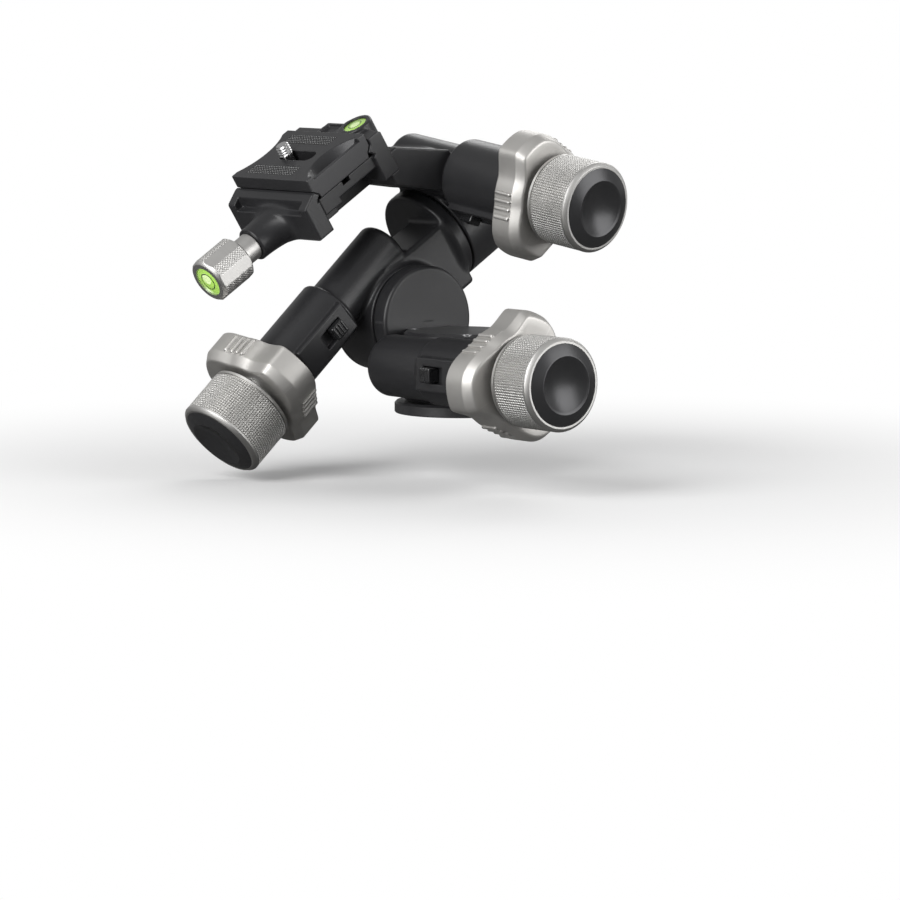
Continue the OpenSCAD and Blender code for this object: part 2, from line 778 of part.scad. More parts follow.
// Disc behind the tilt axis that carries the roll post, with the web that joins it to the case
module roll_disc() {
    translate([roll_axis_x, roll_disc_y, roll_axis_z]) rotate([-90, 0, 0])
        rotate_extrude($fn = smooth) polygon([[0, 0], [case_r - edge, 0], [case_r, edge],
            [case_r, roll_disc_t], [0, roll_disc_t]]);
    difference() {
        translate([tilt_plane_x - tilt_case_hi, 0, roll_axis_z - web_drop])
            cube([web_w, roll_disc_y + edge, web_h]);
        translate([tilt_plane_x - tilt_case_hi - overrun, 0, 0]) rotate([0, 90, 0])
            cylinder(r = case_r - case_wall / 2, h = web_w + 2 * overrun, $fn = smooth);
    }
}
module tilt_cover() {
    color(black) at_tilt() stage_cover(tilt_case_hi, 1);
}
module tilt_cover_screws() {
    color(steel) at_tilt() stage_cover_screws(tilt_case_hi, 1);
}
module tilt_bushes() {
    color(bronze) at_tilt() stage_bushes(1, tilt_case_lo, closed_end);
}
module tilt_worm() {
    color(steel) at_tilt() stage_worm(1, closed_end);
}
module tilt_knob() {
    color(silver) at_tilt() stage_knob(1);
}
module tilt_knob_screw() {
    color(steel) at_tilt() stage_knob_screw(1);
}
module tilt_knob_cap() {
    color(black) at_tilt() stage_knob_cap(1);
}
module tilt_clutch_sleeve() {
    color(steel) at_tilt() stage_clutch_sleeve(1);
}
module tilt_clutch_ring() {
    color(champagne) at_tilt() stage_clutch_ring(1, tilt_ring_turn);
}
module tilt_latch() {
    color(soft_black) at_tilt() stage_latch(1, tilt_pad_angle, collar_r);
}

// Roll stage
module roll_slip_ring() {
    color(soft_black) at_roll() stage_slip_ring(roll_case_lo);
}
module roll_post() {
    color(steel) at_roll()
        stage_post(roll_case_lo - slip_gap, roll_case_lo, roll_case_hi - edge, post_spigot);
}
module roll_wheel() {
    color(bronze) at_roll() stage_wheel(roll_case_lo, -1);
}
module roll_post_nut() {
    color(steel) at_roll() stage_nut();
}
module roll_case() {
    color(black) difference() {
        union() {
            at_roll() {
                case_outside(roll_case_lo, roll_case_hi);
                barrel_outside(-1, roll_pad_angle, roll_barrel_r, roll_collar_r, closed_end);
            }
            at_roll_frame() arm();
        }
        at_roll() {
            case_inside(roll_case_lo, roll_case_hi, -1);
            barrel_inside(-1, roll_pad_angle, roll_collar_r, closed_end);
        }
        at_roll_frame() arm_holes();
    }
}
// Arm from the barrel forward and up to the clamp: a foot under the clamp and a ribbed web
module arm() {
    translate([arm_x0, 0, 0]) rotate([90, 0, 90])
        linear_extrude(height = arm_x1 - arm_x0) arm_profile();
    translate([-arm_foot_x, arm_foot_y, bed_lo - arm_foot_t])
        cube([2 * arm_foot_x, arm_front - arm_foot_y, arm_foot_t]);
}
// Side view of the arm's web, with y across and z up; it passes above the roll disc
module arm_profile() {
    case_y = roll_disc_y + roll_disc_t + slip_gap + side_gap;
    under = case_r + slip_gap + edge;
    polygon([[arm_front - arm_back, bed_lo - arm_foot_t], [arm_front - arm_back, bed_lo - side_gap],
        [arm_front, bed_lo - side_gap], [arm_front, bed_top - arm_back],
        [arm_front + arm_back, bed_top - arm_back],
        [roll_plane_y - barrel_r * arm_top_share, centre_dist + barrel_r * arm_rise_share],
        [roll_plane_y - arm_back, centre_dist - barrel_r / 2],
        [case_y, centre_dist - barrel_r / 2], [case_y, under],
        [case_y - arm_back, under + edge]]);
}
module arm_holes() {
    for (y = bolt_y) translate([0, y, bed_lo - arm_foot_t - overrun]) {
        cylinder(r = bolt_r + seat_clear, h = arm_foot_t + 2 * overrun, $fn = fine);
        cylinder(r = bolt_head_r + seat_clear, h = bolt_head_t + overrun, $fn = fine);
    }
    for (x = arm_pockets) translate([x, arm_front + arm_back, 0])
        cube([pocket_w, pocket_l, bed_lo - pocket_roof]);
}
module roll_cover() {
    color(black) at_roll() stage_cover(roll_case_hi, -1);
}
module roll_cover_screws() {
    color(steel) at_roll() stage_cover_screws(roll_case_hi, -1);
}
module roll_bushes() {
    color(bronze) at_roll() stage_bushes(-1, roll_case_lo, closed_end);
}
module roll_worm() {
    color(steel) at_roll() stage_worm(-1, closed_end);
}
module roll_knob() {
    color(silver) at_roll() stage_knob(-1);
}
module roll_knob_screw() {
    color(steel) at_roll() stage_knob_screw(-1);
}
module roll_knob_cap() {
    color(black) at_roll() stage_knob_cap(-1);
}
module roll_clutch_sleeve() {
    color(steel) at_roll() stage_clutch_sleeve(-1);
}
module roll_clutch_ring() {
    color(champagne) at_roll() stage_clutch_ring(-1, roll_ring_turn);
}
module roll_latch() {
    color(soft_black) at_roll() stage_latch(-1, roll_pad_angle, roll_collar_r);
}

// Camera clamp in one piece: bed with its middle rail and the guides of the pins, far jaw, level
module clamp_body() {
    color(black) at_roll_frame() difference() {
        union() {
            translate([-bed_half, bed_front, bed_top - bed_slab_t])
                cube([2 * bed_half, plate_w / 2 - bed_front, bed_slab_t]);
            translate([-rail_x, bed_front, bed_lo]) cube([2 * rail_x, plate_w / 2 - bed_front, bed_t]);
            for (s = [-1, 1]) {
                translate([s * pin_x - guide_w / 2, bed_front, bed_lo + guide_rise])
                    cube([guide_w, guide_l, bed_t - guide_rise]);
                translate([s > 0 ? pin_x : -bed_half, bed_front, bed_top - bed_slab_t - guide_step_t])
                    cube([bed_half - pin_x, guide_step_l, bed_slab_t]);
            }
            translate([-level_x, plate_w / 2 + plate_fit, bed_top])
                cube([2 * level_x, ridge_w, level_top - bed_top - edge]);
            translate([-jaw_len / 2, 0, 0]) far_jaw();
            translate([level_x, level_y, bed_top])
                cylinder(r = level_boss_r, h = level_top - bed_top, $fn = smooth);
        }
        translate([level_x, level_y, level_top - level_t])
            cylinder(r = level_r + seat_clear, h = level_t + overrun, $fn = fine);
        plate_space();
        translate([0, bed_front - overrun, screw_axis_z]) rotate([-90, 0, 0])
            cylinder(r = clamp_thread_r + run_clear, h = thread_depth + overrun, $fn = fine);
        for (s = [-1, 1]) translate([s * pin_x, bed_front - overrun, pin_z]) rotate([-90, 0, 0])
            cylinder(r = pin_r + run_clear, h = pin_depth + overrun, $fn = fine);
        for (y = bolt_y) translate([0, y, bed_lo - overrun])
            cylinder(r = bolt_r + seat_clear, h = bolt_len - arm_foot_t + bolt_head_t + 2 * overrun, $fn = fine);
        for (s = [-1, 1]) translate([s > 0 ? stop_block : -jaw_len, -stop_slot_w / 2, bed_top - stop_drop - side_gap])
            cube([jaw_len - stop_block, stop_slot_w, stop_drop + overrun]);
    }
}
// Cross-section of the far jaw, with its lip in the plate's groove
module far_jaw() {
    y0 = plate_w / 2 + plate_fit;
    rotate([90, 0, 90]) linear_extrude(height = jaw_len) polygon([
        [plate_w / 2 - edge, bed_lo], [plate_w / 2 + far_jaw_t, bed_lo],
        [plate_w / 2 + far_jaw_t, plate_top - slab_t + jaw_rise - edge],
        [plate_w / 2 + far_jaw_t - edge, plate_top - slab_t + jaw_rise],
        [y0, plate_top - slab_t + jaw_rise], [y0, plate_top - slab_t],
        [y0 - groove_depth, groove_z], [y0 - groove_depth + groove_z - bed_top, bed_top],
        [plate_w / 2 - edge, bed_top - edge]]);
}
// The space that the plate slides through, cleared in the level's boss
module plate_space() {
    translate([-jaw_len, -plate_w, plate_top - slab_t - plate_fit])
        cube([2 * jaw_len, plate_w * 1.5 + plate_fit, 2 * slab_t]);
}
module clamp_bolts() {
    color(steel) at_roll_frame() for (y = bolt_y)
        translate([0, y, bed_lo - arm_foot_t]) mirror([0, 0, 1])
            socket_screw(bolt_r, bolt_len, bolt_head_r, bolt_head_t);
}
module clamp_level() {
    color(green) at_roll_frame() translate([level_x, level_y, level_top - level_t]) level_vial(level_r, level_t);
}
// A round bubble level with a domed lens
module level_vial(r, t) {
    dome = (pow(r, 2) + pow(level_dome, 2)) / (2 * level_dome);
    intersection() {
        cylinder(r = r, h = t, $fn = smooth);
        translate([0, 0, t - dome]) sphere(r = dome, $fn = smooth);
    }
}

// Moving jaw: a lipped plate with an ear at each end and a round boss for the screw
module clamp_jaw() {
    color(black) at_roll_frame() difference() {
        union() {
            difference() {
                translate([-jaw_len / 2, 0, 0]) near_jaw();
                translate([-ear_x, -jaw_front - overrun, screw_axis_z + ear_rise])
                    cube([2 * ear_x, ear_t + overrun, plate_t]);
            }
            translate([0, -plate_w / 2, screw_axis_z]) rotate([90, 0, 0])
                cylinder(r1 = jaw_boss_root_r, r2 = jaw_boss_r, h = jaw_boss_y - plate_w / 2, $fn = smooth);
        }
        translate([0, 0, screw_axis_z]) rotate([90, 0, 0])
            cylinder(r = clamp_shaft_r + 2 * run_clear, h = jaw_boss_y + overrun, $fn = fine);
        for (s = [-1, 1]) translate([s * pin_x, bed_front - jaw_gap + overrun, pin_z]) rotate([90, 0, 0])
            cylinder(r = pin_r + seat_clear, h = pin_jaw_depth + overrun, $fn = fine);
    }
}
// Cross-section of the moving jaw, with its lip in the plate's groove
module near_jaw() {
    y0 = -plate_w / 2 - plate_fit;
    y1 = bed_front - jaw_gap;
    rotate([90, 0, 90]) linear_extrude(height = jaw_len) polygon([
        [y1, bed_lo - jaw_drop], [y1, bed_top], [y0 + groove_depth - groove_z + bed_top, bed_top],
        [y0 + groove_depth, groove_z], [y0 + jaw_lip, plate_top - slab_t - jaw_lip],
        [-jaw_front + edge, plate_top - slab_t - jaw_lip],
        [-jaw_front, plate_top - slab_t - jaw_lip - edge], [-jaw_front, bed_lo - jaw_drop]]);
}
module jaw_pins() {
    color(steel) at_roll_frame() for (s = [-1, 1])
        translate([s * pin_x, bed_front - jaw_gap - pin_jaw_depth + side_gap, pin_z]) rotate([-90, 0, 0])
            cylinder(r = pin_r, h = pin_jaw_depth - side_gap + jaw_gap + pin_depth - side_gap, $fn = fine);
}
module clamp_screw() {
    tip = -bed_front - thread_depth + jaw_open + side_gap;
    shank = -bed_front + jaw_gap + side_gap;
    color(silver) at_roll_frame() translate([0, 0, screw_axis_z]) rotate([90, 0, 0]) {
        translate([0, 0, tip]) cylinder(r = clamp_thread_r, h = shank - tip + hair, $fn = fine);
        translate([0, 0, shank])
            cylinder(r = clamp_shaft_r, h = clamp_knob_from + knob_spigot - shank, $fn = fine);
    }
}
// Six-sided knob on a plain neck, flats between knurled corners, with the level in its end
module clamp_knob() {
    neck_from = jaw_boss_y + side_gap;
    color(silver) at_roll_frame() translate([0, 0, screw_axis_z]) rotate([90, 0, 0]) difference() {
        union() {
            translate([0, 0, clamp_knob_from]) intersection() {
                rotate_extrude($fn = smooth) polygon([[0, 0], [clamp_knob_r - edge, 0],
                    [clamp_knob_r, edge], [clamp_knob_r, clamp_knob_len - edge],
                    [clamp_knob_r - edge, clamp_knob_len], [0, clamp_knob_len]]);
                cylinder(r = clamp_knob_r / cos(180 / clamp_knob_flats) - edge / 2,
                    h = clamp_knob_len, $fn = clamp_knob_flats);
            }
            translate([0, 0, neck_from])
                cylinder(r = clamp_collar_r, h = clamp_knob_from - neck_from + edge, $fn = smooth);
        }
        translate([0, 0, clamp_knob_end - knob_level_t])
            cylinder(r = knob_level_r + seat_clear, h = knob_level_t + overrun, $fn = smooth);
        translate([0, 0, neck_from - overrun])
            cylinder(r = clamp_shaft_r + seat_clear,
                h = clamp_knob_from + knob_spigot - neck_from + overrun, $fn = fine);
    }
}
module knob_level() {
    color(green) at_roll_frame() translate([0, -clamp_knob_end + knob_level_t, screw_axis_z]) rotate([90, 0, 0])
        level_vial(knob_level_r, knob_level_t);
}

// Quick-release plate
module quick_plate() {
    color(black) at_roll_frame() difference() {
        translate([-plate_len / 2, 0, 0]) rotate([90, 0, 90]) linear_extrude(height = plate_len)
            plate_section();
        translate([-plate_len / 2 - waist_r + waist_depth, 0, plate_bottom - overrun])
            cylinder(r = waist_r, h = plate_t + 2 * overrun, $fn = smooth);
        intersection() {
            translate([plate_len / 2 - scoop_reach + scoop_r, 0, plate_top - scoop_depth])
                cylinder(r = scoop_r, h = scoop_depth + overrun, $fn = smooth);
            translate([0, -plate_w / 2, plate_top - scoop_depth])
                cube([plate_len / 2 - scoop_wall, plate_w, scoop_depth + overrun]);
        }
        for (s = [-1, 1]) translate([pad_x - pad_len / 2, s * pad_y - pad_strip_w / 2, plate_top - pad_sink])
            cube([pad_len, pad_strip_w, pad_sink + overrun]);
        translate([plate_len / 2 - scoop_wall - hair, -wall_dip_x, plate_top - wall_dip])
            cube([scoop_wall + overrun, 2 * wall_dip_x, wall_dip + overrun]);
        screw_slot(slot_r, plate_bottom - overrun, plate_top + overrun);
        screw_slot(screw_flange_r + side_gap, plate_bottom - overrun, plate_bottom + flange_room);
        for (s = [-1, 1]) translate([s * stop_x, 0, plate_bottom - overrun])
            cylinder(r = stop_r + seat_clear, h = stop_len - stop_drop + overrun, $fn = fine);
    }
}
module plate_section() {
    h = plate_w / 2;
    foot = h - groove_depth + groove_z - plate_bottom;
    polygon([for (s = [1, -1]) each (s > 0
        ? [[foot, plate_bottom], [h - groove_depth, groove_z], [h, plate_top - slab_t], [h, plate_top]]
        : [[-h, plate_top], [-h, plate_top - slab_t], [groove_depth - h, groove_z], [-foot, plate_bottom]])]);
}
module screw_slot(r, z0, z1) {
    translate([0, 0, z0]) {
        for (x = [slot_x0, slot_x1]) translate([x, 0, 0]) cylinder(r = r, h = z1 - z0, $fn = fine);
        translate([slot_x0, -r, 0]) cube([slot_x1 - slot_x0, 2 * r, z1 - z0]);
    }
}
module plate_pads() {
    color(soft_black) at_roll_frame() for (s = [-1, 1])
        translate([pad_x - pad_len / 2, s * pad_y - pad_strip_w / 2, plate_top - pad_sink] + seat_clear * [1, 1, 1])
            cube([pad_len - 2 * seat_clear, pad_strip_w - 2 * seat_clear, pad_sink + side_gap]);
}
module camera_screw() {
    color(silver) at_roll_frame() translate([slot_x0, 0, plate_bottom + side_gap]) difference() {
        union() {
            cylinder(r = screw_flange_r, h = screw_flange_t, $fn = fine);
            cylinder(r = camera_screw_r - screw_neck, h = plate_t, $fn = fine);
            translate([0, 0, plate_t]) cylinder(r = camera_screw_r, h = camera_screw_h - side_gap, $fn = fine);
        }
        translate([-screw_flange_r - overrun, -coin_slot_w / 2, -overrun])
            cube([2 * screw_flange_r + 2 * overrun, coin_slot_w, screw_flange_t / 2 + overrun]);
    }
}
module plate_stops() {
    color(steel) at_roll_frame() for (s = [-1, 1]) translate([s * stop_x, 0, plate_bottom - stop_drop])
        cylinder(r = stop_r, h = stop_len, $fn = fine);
}

base_flange();
base_insert();
base_screws();
pan_slip_ring();
pan_post();
pan_wheel();
pan_post_nut();
pan_case();
pan_cover();
pan_cover_screws();
pan_bushes();
pan_worm();
pan_knob();
pan_knob_screw();
pan_knob_cap();
pan_clutch_sleeve();
pan_clutch_ring();
pan_latch();
tilt_slip_ring();
tilt_post();
tilt_wheel();
tilt_post_nut();
tilt_case();
tilt_cover();
tilt_cover_screws();
tilt_bushes();
tilt_worm();
tilt_knob();
tilt_knob_screw();
tilt_knob_cap();
tilt_clutch_sleeve();
tilt_clutch_ring();
tilt_latch();
roll_slip_ring();
roll_post();
roll_wheel();
roll_post_nut();
roll_case();
roll_cover();
roll_cover_screws();
roll_bushes();
roll_worm();
roll_knob();
roll_knob_screw();
roll_knob_cap();
roll_clutch_sleeve();
roll_clutch_ring();
roll_latch();
clamp_body();
clamp_bolts();
clamp_level();
clamp_jaw();
jaw_pins();
clamp_screw();
clamp_knob();
knob_level();
quick_plate();
plate_pads();
camera_screw();
plate_stops();
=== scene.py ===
# %% [markdown]
# # A geared tripod head, dressed for its picture
# The head is packed as a fixed frame of solids. This lesson gives each surface its finish, and
# replaces the solids whose real shape is softer or finer than a plain solid: castings with
# fillets, knurled knobs and winged rings. We start by loading that frame.

# %% Load the frame
import json
import math
import bpy
import numpy as np
from mathutils import Matrix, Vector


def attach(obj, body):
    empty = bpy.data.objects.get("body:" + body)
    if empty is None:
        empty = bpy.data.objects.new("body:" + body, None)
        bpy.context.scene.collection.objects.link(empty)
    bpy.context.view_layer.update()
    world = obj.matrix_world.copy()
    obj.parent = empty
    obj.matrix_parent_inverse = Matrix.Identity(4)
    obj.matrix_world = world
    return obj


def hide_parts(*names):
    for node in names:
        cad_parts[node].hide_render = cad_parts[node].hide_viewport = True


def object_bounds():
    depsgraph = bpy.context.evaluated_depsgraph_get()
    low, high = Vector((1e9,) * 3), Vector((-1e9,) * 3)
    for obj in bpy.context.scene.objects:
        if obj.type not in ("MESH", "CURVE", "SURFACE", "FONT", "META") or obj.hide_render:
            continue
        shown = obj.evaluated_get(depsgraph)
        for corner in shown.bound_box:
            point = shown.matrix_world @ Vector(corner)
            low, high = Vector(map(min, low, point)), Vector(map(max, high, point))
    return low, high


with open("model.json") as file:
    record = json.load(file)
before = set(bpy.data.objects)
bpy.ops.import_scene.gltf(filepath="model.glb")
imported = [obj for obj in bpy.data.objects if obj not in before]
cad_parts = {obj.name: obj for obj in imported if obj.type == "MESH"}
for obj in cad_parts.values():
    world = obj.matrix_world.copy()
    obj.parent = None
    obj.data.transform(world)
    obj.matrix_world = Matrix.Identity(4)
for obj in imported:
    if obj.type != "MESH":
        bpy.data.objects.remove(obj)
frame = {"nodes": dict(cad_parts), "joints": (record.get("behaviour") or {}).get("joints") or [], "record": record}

cad_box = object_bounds()
MM = 0.001
MICRON = 0.001 * MM

# %% [markdown]
# ## Camera
# The photograph looks at the head from its front right, a little above the level, with a long
# lens. A long lens far away keeps the perspective as flat as it is there. The camera is placed by
# its azimuth and elevation, then slid sideways so that the base falls where it does in the frame.

# %% Camera
AZIMUTH, ELEVATION = 51.5, 6.45
DISTANCE, FAR_CLIP = 1.9, 10.0
SENSOR_WIDTH = 36.0
PIXELS_PER_MM = 2.2
IMAGE = 900
ORIGIN_PIXEL = np.array([459.0, 411.6])


def viewpoint(azimuth, elevation):
    """Unit vectors away from the head and across, for a direction given in degrees.
    Away = (sin a cos e, -cos a cos e, sin e), and across = (cos a, sin a, 0)."""
    a, e = math.radians(azimuth), math.radians(elevation)
    away = np.array([math.sin(a) * math.cos(e), -math.cos(a) * math.cos(e), math.sin(e)])
    return away, np.array([math.cos(a), math.sin(a), 0.0])


def put_in_scene(name, data):
    """A new object with this data, in the scene's collection."""
    item = bpy.data.objects.new(name, data)
    bpy.context.scene.collection.objects.link(item)
    return item


def face_back(item, away, across, position):
    """Stands a camera or a lamp at the position, with its back along away."""
    rows = np.eye(4)
    rows[:3, 0], rows[:3, 1], rows[:3, 2] = across, np.cross(away, across), away
    rows[:3, 3] = position
    item.matrix_world = Matrix(rows.tolist())


back, right = viewpoint(AZIMUTH, ELEVATION)
up = np.cross(back, right)
slide = (ORIGIN_PIXEL - IMAGE / 2) / PIXELS_PER_MM * MM

camera_data = bpy.data.cameras.new("camera")
camera_data.sensor_width = SENSOR_WIDTH
camera_data.lens = PIXELS_PER_MM * DISTANCE / MM / IMAGE * SENSOR_WIDTH
camera_data.clip_end = FAR_CLIP
camera = put_in_scene("camera", camera_data)
face_back(camera, back, right, back * DISTANCE - right * slide[0] + up * slide[1])
bpy.context.scene.camera = camera
bpy.context.scene.view_settings.view_transform = "Standard"
print("lens", round(camera_data.lens, 1), "mm")

# %% [markdown]
# ## Places taken from the frame
# Each axis of the head is the same gear stage, turned to its own place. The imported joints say
# where: the turn joint gives the wheel's axis, and the knob's joint gives the worm's. A stage's
# own coordinates have x along the worm towards the knob, z along the wheel's axis, and the
# origin in the wheel's middle. Every piece of a stage is made in these, in millimetres.

# %% Stage coordinates
joints = {joint["name"]: joint for joint in frame["joints"]}


class Place:
    """A set of axes with an origin: local millimetres go to the frame's metres."""

    def __init__(self, origin, x_axis, z_axis):
        self.origin = np.array(origin, float)
        x_axis = np.array(x_axis, float)
        z_axis = np.array(z_axis, float)
        self.axes = np.array([x_axis, np.cross(z_axis, x_axis), z_axis])

    def to_frame(self, points):
        """Local point times the axes, plus the origin."""
        return self.origin + np.asarray(points) * MM @ self.axes

    def to_local(self, points):
        """The inverse: metres in the frame to local millimetres."""
        return (np.asarray(points) - self.origin) @ self.axes.T / MM

    def moved(self, shift):
        """The same axes with the origin moved by a local shift."""
        return Place(self.to_frame(shift), self.axes[0], self.axes[2])


UP_SENSE = {"pan": 1, "tilt": -1, "roll": 1}
stage, barrel, side = {}, {}, {}
for axis_name, sense in UP_SENSE.items():
    turn_joint = joints[axis_name + "_turn"]
    knob_joint = joints[axis_name + "_knob_turn"]
    wheel_axis = sense * np.array(turn_joint["axis"])
    stage[axis_name] = Place(turn_joint["pos_m"], knob_joint["axis"], wheel_axis)
    worm_y = stage[axis_name].to_local(knob_joint["pos_m"])[1]
    side[axis_name] = 1 if worm_y > 0 else -1
    barrel[axis_name] = stage[axis_name].moved([0, worm_y, 0])
    print(axis_name, "worm at y =", round(float(worm_y), 2), "mm")

# %% [markdown]
# The clamp has coordinates of its own: x across the camera, y along the roll axis and z up from
# that axis to the plate. Its origin lies on the roll axis, under the middle of the plate. The
# tilt casting's disc and web are easiest to give in a third set, upright on the tilt axis.

# %% Clamp coordinates
TILT_PLACE_X = 47.5
CLAMP_REACH = 59.5

tilt_x = np.array(joints["tilt_turn"]["axis"])
roll_axis = np.array(joints["roll_turn"]["axis"])
plate_up = np.array(joints["camera_screw_turn"]["axis"])
tilt_origin = np.array(joints["tilt_turn"]["pos_m"]) + TILT_PLACE_X * MM * tilt_x
tilt_place = Place(tilt_origin, tilt_x, plate_up)
clamp_origin = np.array(joints["roll_turn"]["pos_m"]) - CLAMP_REACH * MM * roll_axis
clamp_place = Place(clamp_origin, np.cross(roll_axis, plate_up), plate_up)
print("clamp at", clamp_place.origin.round(4), "m")

# %% [markdown]
# ## Surfaces from numbers
# Turned pieces are a profile carried round an axis. Castings are different: a foundry pattern has
# a soft fillet wherever two forms meet, which is hard to get from a mesh of joined solids. Here a
# casting is a distance field, a formula that says how far any point is from the surface. Forms
# are joined with a rounded minimum, which leaves the fillet, and the surface is drawn where the
# distance is nought.

# %% Grids and turned forms
AXIS_R = 0.01


def grid_faces(rows, columns, close_rows=False, close_columns=False):
    """Quads of a grid of points, row by row, closed round either way where asked."""
    i = np.arange(rows if close_rows else rows - 1)
    j = np.arange(columns if close_columns else columns - 1)
    i, j = [a.ravel() for a in np.meshgrid(i, j, indexing="ij")]
    i2, j2 = (i + 1) % rows, (j + 1) % columns
    corners = [i * columns + j, i2 * columns + j, i2 * columns + j2, i * columns + j2]
    return np.stack(corners, axis=1)


def make_piece(name, points, quads, normals=None, smooth_degrees=None):
    """A mesh object from an array of points in metres and an array of quads."""
    mesh = bpy.data.meshes.new(name)
    quads = np.asarray(quads, np.int32)
    mesh.vertices.add(len(points))
    mesh.vertices.foreach_set("co", np.asarray(points, np.float32).ravel())
    mesh.loops.add(quads.size)
    mesh.loops.foreach_set("vertex_index", quads.ravel())
    mesh.polygons.add(len(quads))
    mesh.polygons.foreach_set("loop_start", np.arange(0, quads.size, 4, dtype=np.int32))
    mesh.polygons.foreach_set("use_smooth", np.ones(len(quads), bool))
    mesh.update(calc_edges=True)
    mesh.validate()
    if normals is not None:
        mesh.normals_split_custom_set_from_vertices(normals.tolist())
    if smooth_degrees is not None:
        mesh.set_sharp_from_angle(angle=math.radians(smooth_degrees))
    return put_in_scene(name, mesh)


def revolved(name, place, along, radius, angles, smooth_degrees, close_rows=True, flip=False):
    """A grid round the local x axis, a row for each place along it and a column for each angle t.
    Point = (along, radius * cos t, radius * sin t). Flip turns the faces over, for a profile that
    runs the other way."""
    along = np.broadcast_to(along[:, None], radius.shape)
    points = np.stack([along, radius * np.cos(angles), radius * np.sin(angles)], -1)
    quads = grid_faces(*radius.shape, close_rows=close_rows, close_columns=True)
    if flip:
        quads = quads[:, ::-1]
    points = place.to_frame(points.reshape(-1, 3))
    return make_piece(name, points, quads, smooth_degrees=smooth_degrees)


def with_ends(first, along, radius, last):
    """Rows of a turned form: plain pairs of (along, radius) before and after the rows between."""
    x = np.concatenate([[a for a, r in first], along, [a for a, r in last]])
    before, after = [np.repeat([[r] for a, r in pairs], radius.shape[1], 1) for pairs in (first, last)]
    return x, np.concatenate([before, radius, after])


# %% Distance fields
def corner(d, h, edge):
    """Joins two half-distances of a form into one with its rim rounded by edge."""
    inside = np.minimum(np.maximum(d, h), 0)
    return inside + np.hypot(np.maximum(d, 0), np.maximum(h, 0)) - edge


def span(c, low, high, edge):
    """Distance along one axis to a stretch from low to high, drawn in by edge at both ends."""
    return np.abs(c - (low + high) / 2) - ((high - low) / 2 - edge)


def drum(p, low, high, radius, edge=0.0, x=0.0, y=0.0):
    """Distance to a drum from low to high round the upright line at x, y."""
    return corner(np.hypot(p[0] - x, p[1] - y) - (radius - edge), span(p[2], low, high, edge), edge)


def rod(p, a, b, radius, edge=0.0, y=0.0, z=0.0):
    """Distance to a rod along x from a to b round the line at y, z."""
    return drum([p[1], p[2], p[0]], a, b, radius, edge, y, z)


def rod_y(p, a, b, radius, x, z):
    """Distance to a rod along y from a to b round the line at x, z."""
    return drum([p[0], p[2], p[1]], a, b, radius, x=x, y=z)


def block(p, low, high, edge=0.0):
    """Distance to a box between two corners, its edges rounded."""
    q = [span(c, lo, hi, edge) for c, lo, hi in zip(p, low, high)]
    outside = np.sqrt(sum(np.maximum(c, 0) ** 2 for c in q))
    return outside + np.minimum(np.maximum(q[0], np.maximum(q[1], q[2])), 0) - edge


def outline(u, v, points):
    """Distance in a plane to a closed outline: the nearest edge, negative inside."""
    points = np.array(points, float)
    best = np.full(u.shape, np.inf)
    inside = np.zeros(u.shape, bool)
    for (u0, v0), (u1, v1) in zip(points, np.roll(points, -1, axis=0)):
        du, dv = u1 - u0, v1 - v0
        t = np.clip(((u - u0) * du + (v - v0) * dv) / (du * du + dv * dv), 0, 1)
        best = np.minimum(best, (u - u0 - t * du) ** 2 + (v - v0 - t * dv) ** 2)
        crosses = ((v0 <= v) != (v1 <= v)) & (u < u0 + (v - v0) / (dv if dv else 1) * du)
        inside ^= crosses
    return np.where(inside, -1, 1) * np.sqrt(best)


def slab(p, points, low, high, edge=0.0):
    """Distance to an outline in y and z, carried along x from low to high."""
    return corner(outline(p[1], p[2], points) + edge, span(p[0], low, high, edge), edge)


# %% Joining and cutting
def join(a, b, fillet):
    """Union with a fillet: the smaller distance, drawn down where the two are close.
    It is drawn down by fillet * h^2 / 4, where h goes from 1 at equal distances to 0."""
    h = np.maximum(fillet - np.abs(a - b), 0) / fillet
    return np.minimum(a, b) - h * h * fillet / 4


def cut(a, b, fillet):
    """Takes b away from a, with the cut's rim rounded."""
    return -join(-a, b, fillet)


def bore(a, b):
    """Takes b away from a with a sharp rim."""
    return np.maximum(a, -b)


def spun(p, degrees):
    """The point turned back round the x axis, so that a form made upright lies at that angle."""
    c, s = math.cos(math.radians(degrees)), math.sin(math.radians(degrees))
    return [p[0], c * p[1] + s * p[2], c * p[2] - s * p[1]]


def seen_from(p, here, there):
    """Local points of one place as local points of another: turned, then shifted."""
    turn = here.axes @ there.axes.T
    shift = there.to_local(here.origin)
    return [sum(p[i] * turn[i, k] for i in range(3)) + shift[k] for k in range(3)]


def mirrored(p, axis=0):
    """The point on the positive side along an axis, so that one form there stands for a pair."""
    return [np.abs(c) if k == axis else c for k, c in enumerate(p)]


# %% Draw the surface of a field
PLANES_AT_ONCE = 24
PULLS = 4
LEAST_SLOPE = 0.2
NO_LENGTH = 1e-9
RING_OF_CELLS = ((0, 0), (-1, 0), (-1, -1), (0, -1))


def field_slope(field, points, h):
    """The field and its slope at points, from differences of h either way along each axis."""
    points = np.asarray(points, float)
    slope = np.empty_like(points)
    for axis in range(3):
        shift = np.zeros(3)
        shift[axis] = h
        ahead, behind = field(list((points + shift).T)), field(list((points - shift).T))
        slope[:, axis] = (ahead - behind) / (2 * h)
    return field(list(points.T)), slope


def sample(field, axes):
    """The field at every point of a grid, a few planes at a time."""
    values = np.empty([len(a) for a in axes], np.float32)
    for start in range(0, len(axes[0]), PLANES_AT_ONCE):
        some = slice(start, start + PLANES_AT_ONCE)
        values[some] = field(list(np.meshgrid(axes[0][some], axes[1], axes[2], indexing="ij")))
    return values


def within(cell, cells):
    """True for each cell that is inside the grid."""
    return ((cell >= 0) & (cell < cells)).all(1)


